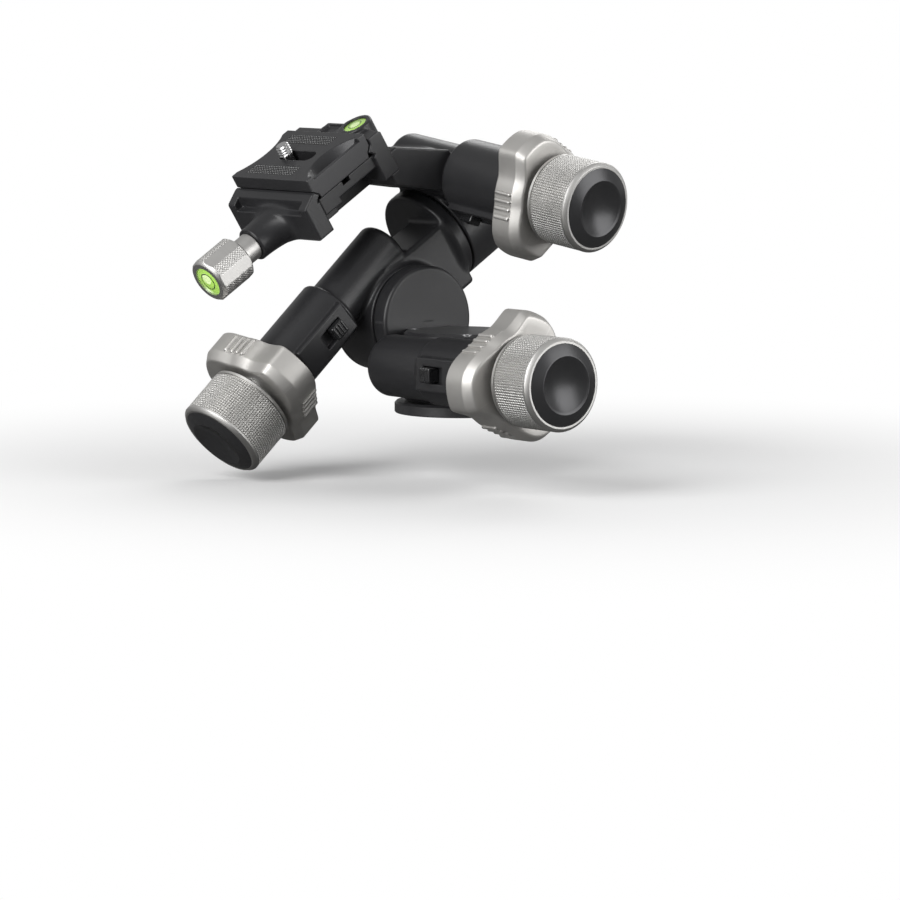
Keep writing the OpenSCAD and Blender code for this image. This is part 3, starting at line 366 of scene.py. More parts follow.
def draw_cells(values):
    """One point in each cube that the surface crosses, at the mean of its edges' crossings, and a
    quad round each edge that it crosses. Points are in steps from the grid's corner."""
    cells = [n - 1 for n in values.shape]
    total = np.zeros(cells + [3], np.float32)
    count = np.zeros(cells, np.int16)
    crossings = []
    for axis in range(3):
        head, tail = [slice(None)] * 3, [slice(None)] * 3
        head[axis], tail[axis] = slice(0, -1), slice(1, None)
        f0, f1 = values[tuple(head)], values[tuple(tail)]
        hit = np.argwhere((f0 < 0) != (f1 < 0))
        a, b = f0[tuple(hit.T)], f1[tuple(hit.T)]
        where = hit.astype(np.float32)
        where[:, axis] += a / (a - b)
        others = [k for k in range(3) if k != axis]
        around = []
        for du, dv in RING_OF_CELLS:
            cell = hit.copy()
            cell[:, others[0]] += du
            cell[:, others[1]] += dv
            around.append(cell)
            good = within(cell, cells)
            np.add.at(total, tuple(cell[good].T), where[good])
            np.add.at(count, tuple(cell[good].T), 1)
        crossings.append((axis, around, a < 0))
    used = tuple(np.argwhere(count > 0).T)
    index = np.full(cells, -1, np.int32)
    index[used] = np.arange(len(used[0]))
    quads = []
    for axis, around, outward in crossings:
        good = np.all([within(cell, cells) for cell in around], axis=0)
        quad = np.stack([index[tuple(cell[good].T)] for cell in around], 1)
        flip = outward[good] if axis != 1 else ~outward[good]
        quads.append(np.where(flip[:, None], quad, quad[:, ::-1]))
    return total[used] / count[used][:, None], np.concatenate(quads)


def surface(name, field, place, box, step):
    """Draws the field in a box, pulls the points onto it along its slope, and takes the normals
    from the slope. A pull moves a point by the distance over the slope squared, times the slope."""
    axes = [np.arange(low, high + step, step) for low, high in zip(*box)]
    points, quads = draw_cells(sample(field, axes))
    points = points * step + np.array(box[0], float)
    for _ in range(PULLS):
        value, slope = field_slope(field, points, step / 10)
        move = -(value / np.maximum((slope ** 2).sum(1), LEAST_SLOPE))[:, None] * slope
        length = np.linalg.norm(move, axis=1, keepdims=True)
        points = points + move * np.minimum(1, step / 2 / np.maximum(length, NO_LENGTH))
    value, slope = field_slope(field, points, step / 10)
    normals = slope / np.linalg.norm(slope, axis=1, keepdims=True) @ place.axes
    print(name, len(quads), "quads; left off", round(float(np.abs(value).max()), 3), "mm")
    return make_piece(name, place.to_frame(points), quads, normals=normals)


# %% [markdown]
# ## Finishes
# Powder coat, bead-blasted anodising and turned metal differ mostly in their fine relief and in how
# glossy they are. Three small node groups give that relief and the lighter edges, which are rubbing
# on most pieces and a painted highlight on the pads' stud tips; each material sets its own colour
# and strengths. A group gives only values; the shader stays in the material.

# %% Node helpers
def feed(tree, sockets, given):
    """Gives sockets, by name or number, another node's output or else a plain value."""
    for label, value in given.items():
        if isinstance(value, bpy.types.NodeSocket):
            tree.links.new(value, sockets[label])
        else:
            sockets[label].default_value = value


def new_node(tree, kind, given=None, **settings):
    """A new node with its settings, and its inputs fed."""
    node = tree.nodes.new("ShaderNode" + kind)
    for label, value in settings.items():
        setattr(node, label, value)
    feed(tree, node.inputs, given or {})
    return node


def calculate(tree, operation, a, b, clamp=False):
    """A Math node of two values, each a number or an output."""
    return new_node(tree, "Math", {0: a, 1: b}, operation=operation, use_clamp=clamp).outputs[0]


def length_of(tree, vector):
    """The length of a vector."""
    return new_node(tree, "VectorMath", {0: vector}, operation="LENGTH").outputs["Value"]


def noise(tree, where, per_metre, detail, roughness=0.5):
    """A noise read at a point, so many cells to the metre."""
    given = {"Vector": where, "Scale": per_metre, "Detail": detail, "Roughness": roughness}
    return new_node(tree, "TexNoise", given).outputs["Fac"]


def blend_values(tree, low, high, factor):
    """low plus factor times high minus low, as a Map Range node."""
    given = {"To Min": low, "To Max": high, "Value": factor}
    return new_node(tree, "MapRange", given).outputs[0]


def blend_colours(tree, first, second, factor):
    """A Mix node from one colour to another. The first may be another node's output."""
    if isinstance(first, tuple):
        first = (*first, 1)
    given = {"A": first, "B": (*second, 1), "Factor": factor}
    return new_node(tree, "Mix", given, data_type="RGBA").outputs["Result"]


# %% Node groups for grain, turning marks, and lighter edges: rubbing, and a painted highlight on the pads' studs
GRAIN_CELLS, PATCH_CELLS, RING_CELLS, CHIP_AND_HIGHLIGHT_CELLS = 2600.0, 60.0, 3800.0, 500.0
FLAT_POINTINESS, EDGE_GAIN = 0.53, 14.0


def new_group(name, inputs, outputs):
    """An empty group with float inputs and their defaults, and its two end nodes."""
    group = bpy.data.node_groups.new(name, "ShaderNodeTree")
    for label, value in inputs.items():
        socket = group.interface.new_socket(label, in_out="INPUT", socket_type="NodeSocketFloat")
        socket.default_value = value
    for label in outputs:
        group.interface.new_socket(label, in_out="OUTPUT", socket_type="NodeSocketFloat")
    return group, group.nodes.new("NodeGroupInput").outputs, group.nodes.new("NodeGroupOutput").inputs


def build_grain():
    """Fine grain: a small noise for the relief, and a broad one for patches of gloss."""
    group, given, result = new_group("grain", {"Grain Scale": GRAIN_CELLS}, ("Relief", "Patches"))
    where = new_node(group, "TexCoord").outputs["Object"]
    feed(group, result, {"Relief": noise(group, where, given["Grain Scale"], 3.0, 0.6),
                         "Patches": noise(group, where, PATCH_CELLS, 4.0, 0.6)})
    return group


def build_turned():
    """Marks of the lathe: thin rings about an axis, from a noise read along the axis and radius."""
    group, given, result = new_group("turned", {"Along": 0.0, "Radius": 0.0}, ("Relief",))
    pair = new_node(group, "CombineXYZ", {"X": given["Along"], "Y": given["Radius"]})
    feed(group, result, {"Relief": noise(group, pair.outputs[0], RING_CELLS, 2.0)})
    return group


def build_wear_and_highlight():
    """Lighter edges where the surface is sharply convex, broken up by a noise: rubbing on most pieces, and a
    painted highlight on the tips of the pads' studs.
    """
    group, given, result = new_group("edge_wear_and_highlight", {"Amount": 0.5}, ("Mask",))
    where = new_node(group, "TexCoord").outputs["Object"]
    sharp = new_node(group, "NewGeometry").outputs["Pointiness"]
    edge = calculate(group, "SUBTRACT", sharp, FLAT_POINTINESS)
    edge = calculate(group, "MULTIPLY", edge, EDGE_GAIN, clamp=True)
    chipped_and_highlit = calculate(group, "MULTIPLY", edge, noise(group, where, CHIP_AND_HIGHLIGHT_CELLS, 5.0, 0.7))
    feed(group, result, {"Mask": calculate(group, "MULTIPLY", chipped_and_highlit, given["Amount"], clamp=True)})
    return group


GRAIN, TURNED, WEAR_AND_HIGHLIGHT = build_grain(), build_turned(), build_wear_and_highlight()
print("groups:", [group.name for group in (GRAIN, TURNED, WEAR_AND_HIGHLIGHT)])

# %% [markdown]
# One function makes every metal and plastic here, because they differ only in numbers. The broad
# patches move the roughness a little either way, as handling does, and the grain goes to a Bump
# node, whose distance is the grain's real height. Turned pieces also get rings about their axis.

# %% Materials
PATCH_SHADE = 0.82
SMOOTHER, ROUGHER = 0.05, 0.07
COAT_ROUGH = 0.2


def new_material(name):
    """A new material with its tree and the inputs of its shader."""
    material = bpy.data.materials.new(name)
    material.use_nodes = True
    tree = material.node_tree
    return material, tree, tree.nodes["Principled BSDF"].inputs


def add_group(tree, group, given):
    """A node group in a tree, its inputs fed: gives the outputs."""
    return new_node(tree, "Group", given, node_tree=group).outputs


def add_turning(tree, place, under, height):
    """Reads Object coordinates in the place's own axes, and adds rings about its x axis."""
    given = {"Vector": new_node(tree, "TexCoord").outputs["Object"],
             "Rotation": Matrix(place.axes.tolist()).to_euler("XYZ"),
             "Location": (-(place.axes @ place.origin)).tolist()}
    mapping = new_node(tree, "Mapping", given)
    parts = new_node(tree, "SeparateXYZ", {0: mapping.outputs[0]}).outputs
    flat = new_node(tree, "CombineXYZ", {"Y": parts["Y"], "Z": parts["Z"]})
    rings = add_group(tree, TURNED, {"Along": parts["X"], "Radius": length_of(tree, flat.outputs[0])})
    given = {"Height": rings["Relief"], "Distance": height, "Normal": under}
    return new_node(tree, "Bump", given).outputs["Normal"]


def finish(name, colour, rough, metal=0.0, grain=GRAIN_CELLS, height=10 * MICRON, wear_and_highlight=0.0, worn_and_highlight_colour=None,
           turned_about=None, turned_height=0.0, coat=0.0, shine=0.5):
    """A material: colour with patches and lighter edges (rubbing, and a painted highlight on the pads' stud tips),
    roughness in a range, grain as bump.
    """
    material, tree, shader = new_material(name)
    grains = add_group(tree, GRAIN, {"Grain Scale": grain})
    shown = blend_colours(tree, tuple(PATCH_SHADE * c for c in colour), colour, grains["Patches"])
    # Lighter colour on sharply convex edges: rubbing on most finishes, a painted highlight on the pads' stud tips.
    if wear_and_highlight:
        shown = blend_colours(tree, shown, worn_and_highlight_colour, add_group(tree, WEAR_AND_HIGHLIGHT, {"Amount": wear_and_highlight})["Mask"])
    given = {"Height": grains["Relief"], "Distance": height}
    normal = new_node(tree, "Bump", given).outputs["Normal"]
    if turned_about is not None:
        normal = add_turning(tree, turned_about, normal, turned_height)
    gloss = blend_values(tree, rough - SMOOTHER, rough + ROUGHER, grains["Patches"])
    feed(tree, shader, {"Base Color": shown, "Roughness": gloss, "Normal": normal, "Metallic": metal,
                        "Specular IOR Level": shine, "Coat Weight": coat, "Coat Roughness": COAT_ROUGH})
    return material


finishes = {
    "black_casting": finish("powder_coat", (0.02, 0.02, 0.0215), 0.36, grain=2200, height=40 * MICRON,
                            wear_and_highlight=0.5, worn_and_highlight_colour=(0.07, 0.07, 0.072), coat=0.05, shine=0.38),
    "black_anodised": finish("milled_black", (0.03, 0.03, 0.032), 0.4, metal=0.3,
                             wear_and_highlight=0.6, worn_and_highlight_colour=(0.3, 0.3, 0.3)),
    "plain_aluminium": finish("plain_aluminium", (0.6, 0.6, 0.6), 0.35, metal=1.0, height=6 * MICRON),
    "plain_steel": finish("ground_steel", (0.36, 0.36, 0.365), 0.42, metal=1.0, height=6 * MICRON),
    "polished_steel": finish("polished_steel", (0.62, 0.62, 0.62), 0.24, metal=1.0, height=2 * MICRON),
    "bronze": finish("machined_bronze", (0.55, 0.36, 0.16), 0.36, metal=1.0, height=6 * MICRON),
    "black_plastic": finish("moulded_black", (0.012, 0.012, 0.013), 0.22, height=4 * MICRON, coat=0.3),
    # The pads' pale stud tips are a painted highlight, laid on by the edge mask.
    "pad_rubber": finish("ribbed_rubber", (0.014, 0.014, 0.015), 0.6, height=40 * MICRON,
                         wear_and_highlight=6.0, worn_and_highlight_colour=(0.3, 0.3, 0.3)),
    "champagne_anodised": finish("blasted_champagne", (0.58, 0.567, 0.545), 0.5, metal=0.9, grain=4200,
                                 height=12 * MICRON, wear_and_highlight=0.35, worn_and_highlight_colour=(0.8, 0.79, 0.77)),
    "silver_anodised": finish("knurled_silver", (0.62, 0.612, 0.595), 0.46, metal=1.0, height=6 * MICRON),
}
print("finishes:", len(finishes))


def dress(piece, body, slot, *nodes):
    """Hides the nodes that the piece stands for, rides it on a body, and gives it the slot's finish."""
    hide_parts(*nodes)
    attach(piece, body)
    piece.data.materials.append(finishes[slot])


# %% [markdown]
# ## Castings
# The three gear cases are cast and powder coated: round case, barrel with a soft closed end, a
# thicker collar with a flat pad for the latch, and on each a disc or an arm that carries the next
# stage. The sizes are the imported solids' own, so covers, screws and bushes still fit.

# %% Sizes of a gear stage
CENTRE_DIST = 29.0
CASE_R, CASE_WALL, FLOOR_T = 25.0, 2.4, 3.0
POST_BORE_R = 14.02
COLLAR_FROM, COLLAR_TO = 24.0, 64.0
BORE_R, END_WALL = 9.8, 2.6
SLEEVE_R, SLEEVE_FROM = 12.45, 47.75
PAD_FROM, PAD_TO, PAD_HALF, PAD_RISE = 26.0, 59.0, 7.5, 1.3
SLOT_FROM, SLOT_TO, SLOT_HALF, SLOT_DEPTH = 31.75, 44.75, 3.75, 2.95
ROOM_UP, SLOT_UP, PAST, OVERLAP = 5.0, 9.0, 2.0, 1.0
CASE_SPAN = {"pan": (-16.0, 12.6), "tilt": (-15.0, 12.4), "roll": (-12.8, 12.4)}
CLOSED_END = {"pan": -14.4, "tilt": -19.0, "roll": -19.0}
PLAIN_R = {"pan": 14.0, "tilt": 12.3, "roll": 13.1}
COLLAR_R = {"pan": 15.3, "tilt": 15.3, "roll": 17.2}
PAD_ANGLE = {"pan": 90, "tilt": 180, "roll": 215}
PAD_LEVEL = {name: radius + PAD_RISE for name, radius in COLLAR_R.items()}
SOFT_END = 3.6
FILLET = 3.0
CRISP = 0.7
DISC_EDGE = 1.8
HOLLOW_RIM = 0.3
STEP = 0.7


def on_barrel(p, name):
    """The point seen from the barrel's axis, turned so that the latch's pad is on top."""
    return spun([p[0], p[1] - side[name] * CENTRE_DIST, p[2]], PAD_ANGLE[name])


def stage_casting(p, name):
    """Case, barrel, collar and pad of a stage, joined with fillets."""
    q = on_barrel(p, name)
    tube = rod(q, CLOSED_END[name], COLLAR_FROM + PAST, PLAIN_R[name], edge=SOFT_END)
    tube = join(tube, rod(q, COLLAR_FROM, COLLAR_TO, COLLAR_R[name], edge=1.0), fillet=2.4)
    pad = block(q, (PAD_FROM, -PAD_HALF, 0), (PAD_TO, PAD_HALF, PAD_LEVEL[name]), edge=CRISP)
    tube = join(tube, pad, fillet=0.8)
    return join(drum(p, *CASE_SPAN[name], CASE_R, edge=CRISP), tube, FILLET)


def stage_hollow(p, name):
    """The space inside a stage: wheel room, worm bore, sleeve bore, post bore and latch slot."""
    low, high = CASE_SPAN[name]
    q = on_barrel(p, name)
    slot_floor, slot_top = PAD_LEVEL[name] - SLOT_DEPTH, PAD_LEVEL[name] + SLOT_UP
    rooms = [drum(p, low + FLOOR_T, high + ROOM_UP, CASE_R - CASE_WALL),
             drum(p, low - PAST, low + FLOOR_T + OVERLAP, POST_BORE_R),
             rod(q, CLOSED_END[name] + END_WALL, COLLAR_TO + PAST, BORE_R),
             rod(q, SLEEVE_FROM, COLLAR_TO + PAST, SLEEVE_R),
             block(q, (SLOT_FROM, -SLOT_HALF, slot_floor), (SLOT_TO, SLOT_HALF, slot_top))]
    return np.minimum.reduce(rooms)


# %% Pan casting: the upright disc with its straight foot
TILT_DISC_FROM, TILT_DISC_TO = -31.9, -22.5
TILT_AXIS_Z = stage["pan"].to_local(joints["tilt_turn"]["pos_m"])[2]
FOOT_HALF, FOOT_REACH, FOOT_RISE = 22.0, 6.0, 1.2
SOCKET_R, SOCKET_DEPTH = 9.02, 4.0


def pan_field(p):
    """The stage joined to the disc and to the foot, which is trimmed by a circle round the disc."""
    disc = rod(p, TILT_DISC_FROM, TILT_DISC_TO, CASE_R, edge=DISC_EDGE, z=TILT_AXIS_Z)
    foot_low = (TILT_DISC_FROM, -FOOT_HALF, CASE_SPAN["pan"][0] + FOOT_RISE)
    foot = block(p, foot_low, (TILT_DISC_TO, FOOT_HALF, TILT_AXIS_Z), edge=DISC_EDGE)
    trim = rod(p, TILT_DISC_FROM - PAST, TILT_DISC_TO + PAST, CASE_R + FOOT_REACH, z=TILT_AXIS_Z)
    upright = np.minimum(disc, np.maximum(foot, trim))
    form = join(stage_casting(p, "pan"), upright, fillet=1.6)
    form = cut(form, stage_hollow(p, "pan"), HOLLOW_RIM)
    socket_from, socket_to = TILT_DISC_FROM - OVERLAP, TILT_DISC_FROM + SOCKET_DEPTH
    return bore(form, rod(p, socket_from, socket_to, SOCKET_R, z=TILT_AXIS_Z))


pan_box = ((-33, -46, -17.5), (66, 27, 45))
pan_casting = surface("pan_casting", pan_field, stage["pan"], pan_box, STEP)
dress(pan_casting, "pan_head", "black_casting", "pan_case")

# %% Tilt casting: the case under the camera's side, with the roll disc behind it
ROLL_X, ROLL_Z = -58.0, 14.5
ROLL_DISC_FROM, ROLL_DISC_TO = 38.9, 46.1
WEB_FROM = (-59.9, 0, ROLL_Z - 22)
WEB_TO = (-35.9, ROLL_DISC_FROM + 2, ROLL_Z + 12)


def tilt_field(p):
    """The stage joined by a web to the roll disc, which has a socket for the roll post."""
    q = seen_from(p, stage["tilt"], tilt_place)
    r = [q[0] - ROLL_X, q[2] - ROLL_Z, q[1]]
    disc = drum(r, ROLL_DISC_FROM, ROLL_DISC_TO, CASE_R, edge=DISC_EDGE)
    web = block(q, WEB_FROM, WEB_TO, edge=2.0)
    form = join(join(stage_casting(p, "tilt"), web, FILLET), disc, FILLET)
    form = cut(form, stage_hollow(p, "tilt"), HOLLOW_RIM)
    return bore(form, drum(r, ROLL_DISC_TO - SOCKET_DEPTH, ROLL_DISC_TO + PAST, SOCKET_R))


tilt_box = ((-70, -60, -60), (66, 60, 60))
tilt_casting = surface("tilt_casting", tilt_field, stage["tilt"], tilt_box, STEP)
dress(tilt_casting, "tilt_head", "black_casting", "tilt_case")

# %% [markdown]
# The roll casting also has the arm that reaches forward and up to the camera clamp. Its side view
# is an outline in the clamp's coordinates, carried across; a thin foot goes on under the clamp.

# %% Roll casting with its arm
ARM_SIDE = [(22.75, 44.2), (22.75, 49.95), (27.25, 49.95), (27.25, 59.2), (31.75, 59.2), (57.04, 40.7),
            (55, 22.85), (46.95, 22.85), (46.95, 26.8), (42.45, 28)]
ARM_X = (-10.0, 28.0)
FOOT_FROM, FOOT_TO = (-9, -4, 44.2), (9, 27.25, 50.2)
POCKETS_X, POCKET_WIDTH = (-6, 4.5, 15), 7.5
POCKET_Y, POCKET_Z = (31.75, 40.75), (20, 46.2)
BOLTS_Y, BOLT_R = (3, 17), 2.52
BOLT_HEAD_R, BOLT_HEAD_TOP = 4.22, 46.8


def roll_field(p):
    """The stage, its arm with three pockets below, and the foot with two counterbored holes."""
    q = seen_from(p, stage["roll"], clamp_place)
    form = join(stage_casting(p, "roll"), slab(q, ARM_SIDE, *ARM_X, edge=0.8), fillet=2.0)
    form = join(form, block(q, FOOT_FROM, FOOT_TO, edge=0.6), fillet=1.0)
    form = cut(form, stage_hollow(p, "roll"), HOLLOW_RIM)
    for x in POCKETS_X:
        low, high = (x, POCKET_Y[0], POCKET_Z[0]), (x + POCKET_WIDTH, POCKET_Y[1], POCKET_Z[1])
        form = cut(form, block(q, low, high, edge=1.0), fillet=0.5)
    for y in BOLTS_Y:
        form = bore(form, drum(q, 40, 52, BOLT_R, y=y))
        form = bore(form, drum(q, 40, BOLT_HEAD_TOP, BOLT_HEAD_R, y=y))
    return form


roll_box = ((-33, -68, -67), (66, 28, 18.5))
roll_casting = surface("roll_casting", roll_field, stage["roll"], roll_box, STEP)
dress(roll_casting, "roll_head", "black_casting", "roll_case")

# %% [markdown]
# ## Control knobs
# The grip is a straight knurl: grooves along the knob cross grooves around it and leave rows of
# small square studs. Each stud is four facets wide either way. The profile runs on round the
# plain bands, the polished front bevel and the recess that holds the black cap.

# %% Knurled knobs
KNOB_FROM, KNOB_TO, KNOB_R = 83.5, 108.1, 20.5
HOLLOW_TO, HUB_R, SHELL_R, SHAFT_R = 92.5, 9.0, 14.0, 5.6
CAP_SEAT, CAP_R = 103.7, 18.1
STUDS_ROUND, STUDS_ALONG = 104, 17
GRIP_FROM, GRIP_TO = 85.5, 105.4
STUD_STEPS = np.array([0.0, 0.24, 0.5, 0.76])
STUD_SHAPE = np.array([0.0, 0.8, 1.0, 0.8])
STUD_DEPTH = 0.6
KNOB_INSIDE = [(HOLLOW_TO, HUB_R), (KNOB_FROM, HUB_R), (KNOB_FROM, SHAFT_R), (CAP_SEAT, SHAFT_R),
               (CAP_SEAT, CAP_R), (KNOB_TO, CAP_R), (KNOB_TO, 18.95), (KNOB_TO - 0.1, 19.12),
               (KNOB_TO - 1.3, KNOB_R - 0.15), (KNOB_TO - 1.6, KNOB_R), (GRIP_TO + 0.3, KNOB_R)]
KNOB_BACK = [(GRIP_FROM - 0.1, KNOB_R - 1.0), (GRIP_FROM - 0.4, KNOB_R - 1.0),
             (GRIP_FROM - 0.5, KNOB_R - 0.3), (KNOB_FROM + 0.3, KNOB_R - 0.25),
             (KNOB_FROM, KNOB_R - 0.6), (KNOB_FROM, SHELL_R), (HOLLOW_TO, SHELL_R)]


def stud_places(count, start, end):
    """Where each step of the studs lies between start and end."""
    return start + (np.arange(count)[:, None] + STUD_STEPS).ravel() * (end - start) / count


def knurled_knob(name, place):
    """Radius in the grip = KNOB_R - depth * (1 - lower of the stud's two section heights)."""
    around = stud_places(STUDS_ROUND, 0, 2 * np.pi)
    along = np.append(stud_places(STUDS_ALONG, GRIP_FROM, GRIP_TO), GRIP_TO)[::-1]
    high_along = np.append(np.tile(STUD_SHAPE, STUDS_ALONG), 0)[::-1]
    studs = np.minimum(high_along[:, None], np.tile(STUD_SHAPE, STUDS_ROUND))
    x, radius = with_ends(KNOB_INSIDE, along, KNOB_R - STUD_DEPTH * (1 - studs), KNOB_BACK)
    return revolved(name, place, x, radius, around, smooth_degrees=25)


DISH_R, DISH_DEPTH, DISH_ROWS = 12.5, 3.2, 30
CAP_FACE, CAP_GAP, CAP_SEGMENTS = KNOB_TO + 2.3, 0.05, 192
CAP_RIM = [(CAP_FACE - 0.2, DISH_R - 0.15), (CAP_FACE - 0.03, DISH_R + 0.1),
           (CAP_FACE - 0.03, DISH_R + 0.35), (CAP_FACE - 0.15, DISH_R + 0.7),
           (KNOB_TO + 0.12, CAP_R - 0.25), (KNOB_TO, CAP_R - CAP_GAP),
           (CAP_SEAT + CAP_GAP, CAP_R - CAP_GAP), (CAP_SEAT + CAP_GAP, 0)]


def knob_cap(name, place):
    """A ball-shaped dish inside a rounded rim, with a shallow cone from the rim to the knob.
    Depth in the dish = ball - root(ball^2 - r^2)."""
    ball = (DISH_R ** 2 + DISH_DEPTH ** 2) / (2 * DISH_DEPTH)
    bottom = CAP_FACE - DISH_DEPTH + ball
    dish = [(bottom - math.sqrt(ball ** 2 - r ** 2), r) for r in np.linspace(0, DISH_R - 0.5, DISH_ROWS)]
    along, radius = np.array(dish + CAP_RIM).T
    radius = np.repeat(np.maximum(radius, AXIS_R)[:, None], CAP_SEGMENTS, 1)
    t = np.linspace(0, 2 * np.pi, CAP_SEGMENTS, endpoint=False)
    return revolved(name, place, along, radius, t, smooth_degrees=40)


for axis_name in stage:
    knob = knurled_knob(axis_name + "_knurled_knob", barrel[axis_name])
    dress(knob, axis_name + "_drive", "silver_anodised", axis_name + "_knob")
    finishes["dark_anodised"] = finish(axis_name + "_cap_black", (0.05, 0.05, 0.052), 0.3, metal=0.6,
                                       height=8 * MICRON, turned_about=barrel[axis_name],
                                       turned_height=6 * MICRON)
    cap = knob_cap(axis_name + "_dished_cap", barrel[axis_name])
    dress(cap, axis_name + "_drive", "dark_anodised", axis_name + "_knob_cap")

# %% [markdown]
# ## Clutch rings
# Three equal ratchet lobes stand 120 degrees apart. From a lobe's corner the outline drops in a
# concave sweep to a ribbed waist and climbs slowly to the next lobe. A bevel carries it to the
# slightly dished front face. The ribs are half-round with ball ends.

# %% Clutch rings
RING_FROM, RING_TO, RING_BORE = 65.0, 81.0, 12.42
WAIST_R, LOBE_R = 23.0, 30.6
LOBE_DROP, CLIMB_FROM, CLIMB = 25, 48, 48
BLUR_REACH, BLUR_WIDTH = 30, 9.0
RING_DISH, BEVEL = 0.9, 3.6
RIB_HALF, RIB_RISE, RIB_FROM, RIB_TO = 1.0, 1.15, 66.8, 75.0
RIB_ANGLES = 38 + 8.5 * np.arange(4)
RIB_ROWS = (65.75, 65.85, 66.0, 66.2, 66.5, 66.8, 67.6, 69, 71, 73, 74.4, 75.0, 75.3, 75.6, 75.8,
            75.95, 76.1)
RING_TURN = {"pan": 85, "tilt": 70, "roll": 77}

BACK_ROWS = [(RING_FROM, 0, 0), (RING_FROM, 0.9, 1), (RING_FROM + 0.12, 0.35, 1),
             (RING_FROM + 0.4, 0.06, 1), (RING_FROM + 0.7, 0, 1)]
BEVEL_ROWS = [(76.5, 0.08, 1), (77.0, 0.3, 1), (80.2, 2.1, 1), (80.6, 2.4, 1), (80.9, 2.9, 1),
              (RING_TO, BEVEL, 1)]
FACE_ROWS = [(RING_TO - RING_DISH * (1 - s) ** 1.5, BEVEL, s) for s in (0.8, 0.6, 0.4, 0.2, 0)]


def lobe_radius(a):
    """Radius at an angle in degrees: a square-law drop, the waist, an eased rise, the lobe."""
    a = a % 120
    drop = (1 - np.minimum(a / LOBE_DROP, 1)) ** 2
    t = np.clip((a - CLIMB_FROM) / CLIMB, 0, 1)
    return WAIST_R + (LOBE_R - WAIST_R) * np.maximum(drop, t * t * (3 - 2 * t))


def blurred(values):
    """A closed row of values, each the mean of its neighbours weighted by a bell curve."""
    kernel = np.exp(-0.5 * (np.arange(-BLUR_REACH, BLUR_REACH + 1) / BLUR_WIDTH) ** 2)
    padded = np.concatenate([values[-BLUR_REACH:], values, values[:BLUR_REACH]])
    return np.convolve(padded, kernel / kernel.sum(), "valid")


def clutch_ring(name, place, turn):
    """Rows of (x, inset, share): a share of 1 is on the lobed outline less the inset, 0 on the bore."""
    a = np.arange(0, 360, 0.25)
    lobes = blurred(lobe_radius(a))
    rows = BACK_ROWS + [(x, 0, 1) for x in RIB_ROWS] + BEVEL_ROWS + FACE_ROWS
    x, inset, share = np.array(rows).T[:, :, None]
    ribs = 0
    ends = np.maximum(np.maximum(RIB_FROM - x, x - RIB_TO), 0)
    for angle in np.add.outer(np.arange(3) * 120, RIB_ANGLES).ravel():
        across = np.radians((a - angle + 180) % 360 - 180) * lobes
        inside = np.maximum(1 - (across ** 2 + ends ** 2) / RIB_HALF ** 2, 0)
        ribs = np.maximum(ribs, RIB_RISE * np.sqrt(inside))
    outer = lobes - inset + ribs * (inset == 0)
    radius = RING_BORE + (outer - RING_BORE) * share
    return revolved(name, place, x[:, 0], radius, np.radians(a + turn), smooth_degrees=40, flip=True)


for axis_name in stage:
    ring = clutch_ring(axis_name + "_lobed_ring", barrel[axis_name], RING_TURN[axis_name])
    dress(ring, axis_name + "_clutch", "champagne_anodised", axis_name + "_clutch_ring")

# %% Latches
LATCH_FROM, LATCH_TO, LATCH_HALF = 32.0, 39.5, 3.5
LATCH_DOWN, LATCH_UP = 2.7, 3.0
THUMB_GROOVES_X, THUMB_GROOVE_R = (33.9, 35.75, 37.6), 0.45
latch_box = ((31, -24, -24), (41, 24, 24))


def latch_field(p, name):
    """A rounded block with three thumb grooves across its top."""
    q = spun(p, PAD_ANGLE[name])
    low, top = PAD_LEVEL[name] - LATCH_DOWN, PAD_LEVEL[name] + LATCH_UP
    form = block(q, (LATCH_FROM, -LATCH_HALF, low), (LATCH_TO, LATCH_HALF, top), edge=0.9)
    for x in THUMB_GROOVES_X:
        form = cut(form, np.hypot(q[0] - x, q[2] - top) - THUMB_GROOVE_R, fillet=0.2)
    return form


for axis_name in stage:
    lever = surface(axis_name + "_latch_block", lambda p: latch_field(p, axis_name), barrel[axis_name],
                    latch_box, step=0.35)
    dress(lever, axis_name + "_lock", "black_plastic", axis_name + "_latch")

# %% [markdown]
# ## Camera clamp
# Everything on top is in the clamp's own coordinates. The bed, the far jaw and the boss of the
# level are one casting. The near jaw slides on two pins towards it.

# %% Clamp castings
CLAMP_STEP = 0.45
JAW_HALF = 30.0
PINS_X, PIN_Z = 21.0, 54.7
SCREW_Z = 55.0
BED_NEAR, BED_TOP = -17.6, 63.7
LEVEL_X, LEVEL_Y = 12.0, 27.6
PLATE_GAP = 19.3

FAR_JAW = [(17.8, 50.2), (27, 50.2), (27, 70.8), (25.8, 72), (19.3, 72), (19.3, 69), (16.7, 66.4),
           (19.0, 63.7), (17.8, 62.5)]
NEAR_JAW = [(-18.3, 48.2), (-18.3, 63.7), (-19.4, 63.7), (-16.7, 66.4), (-18.9, 68.6), (-20.3, 68.4),
            (-26.9, 65.2), (-27.5, 64.4), (-27.5, 48.2)]


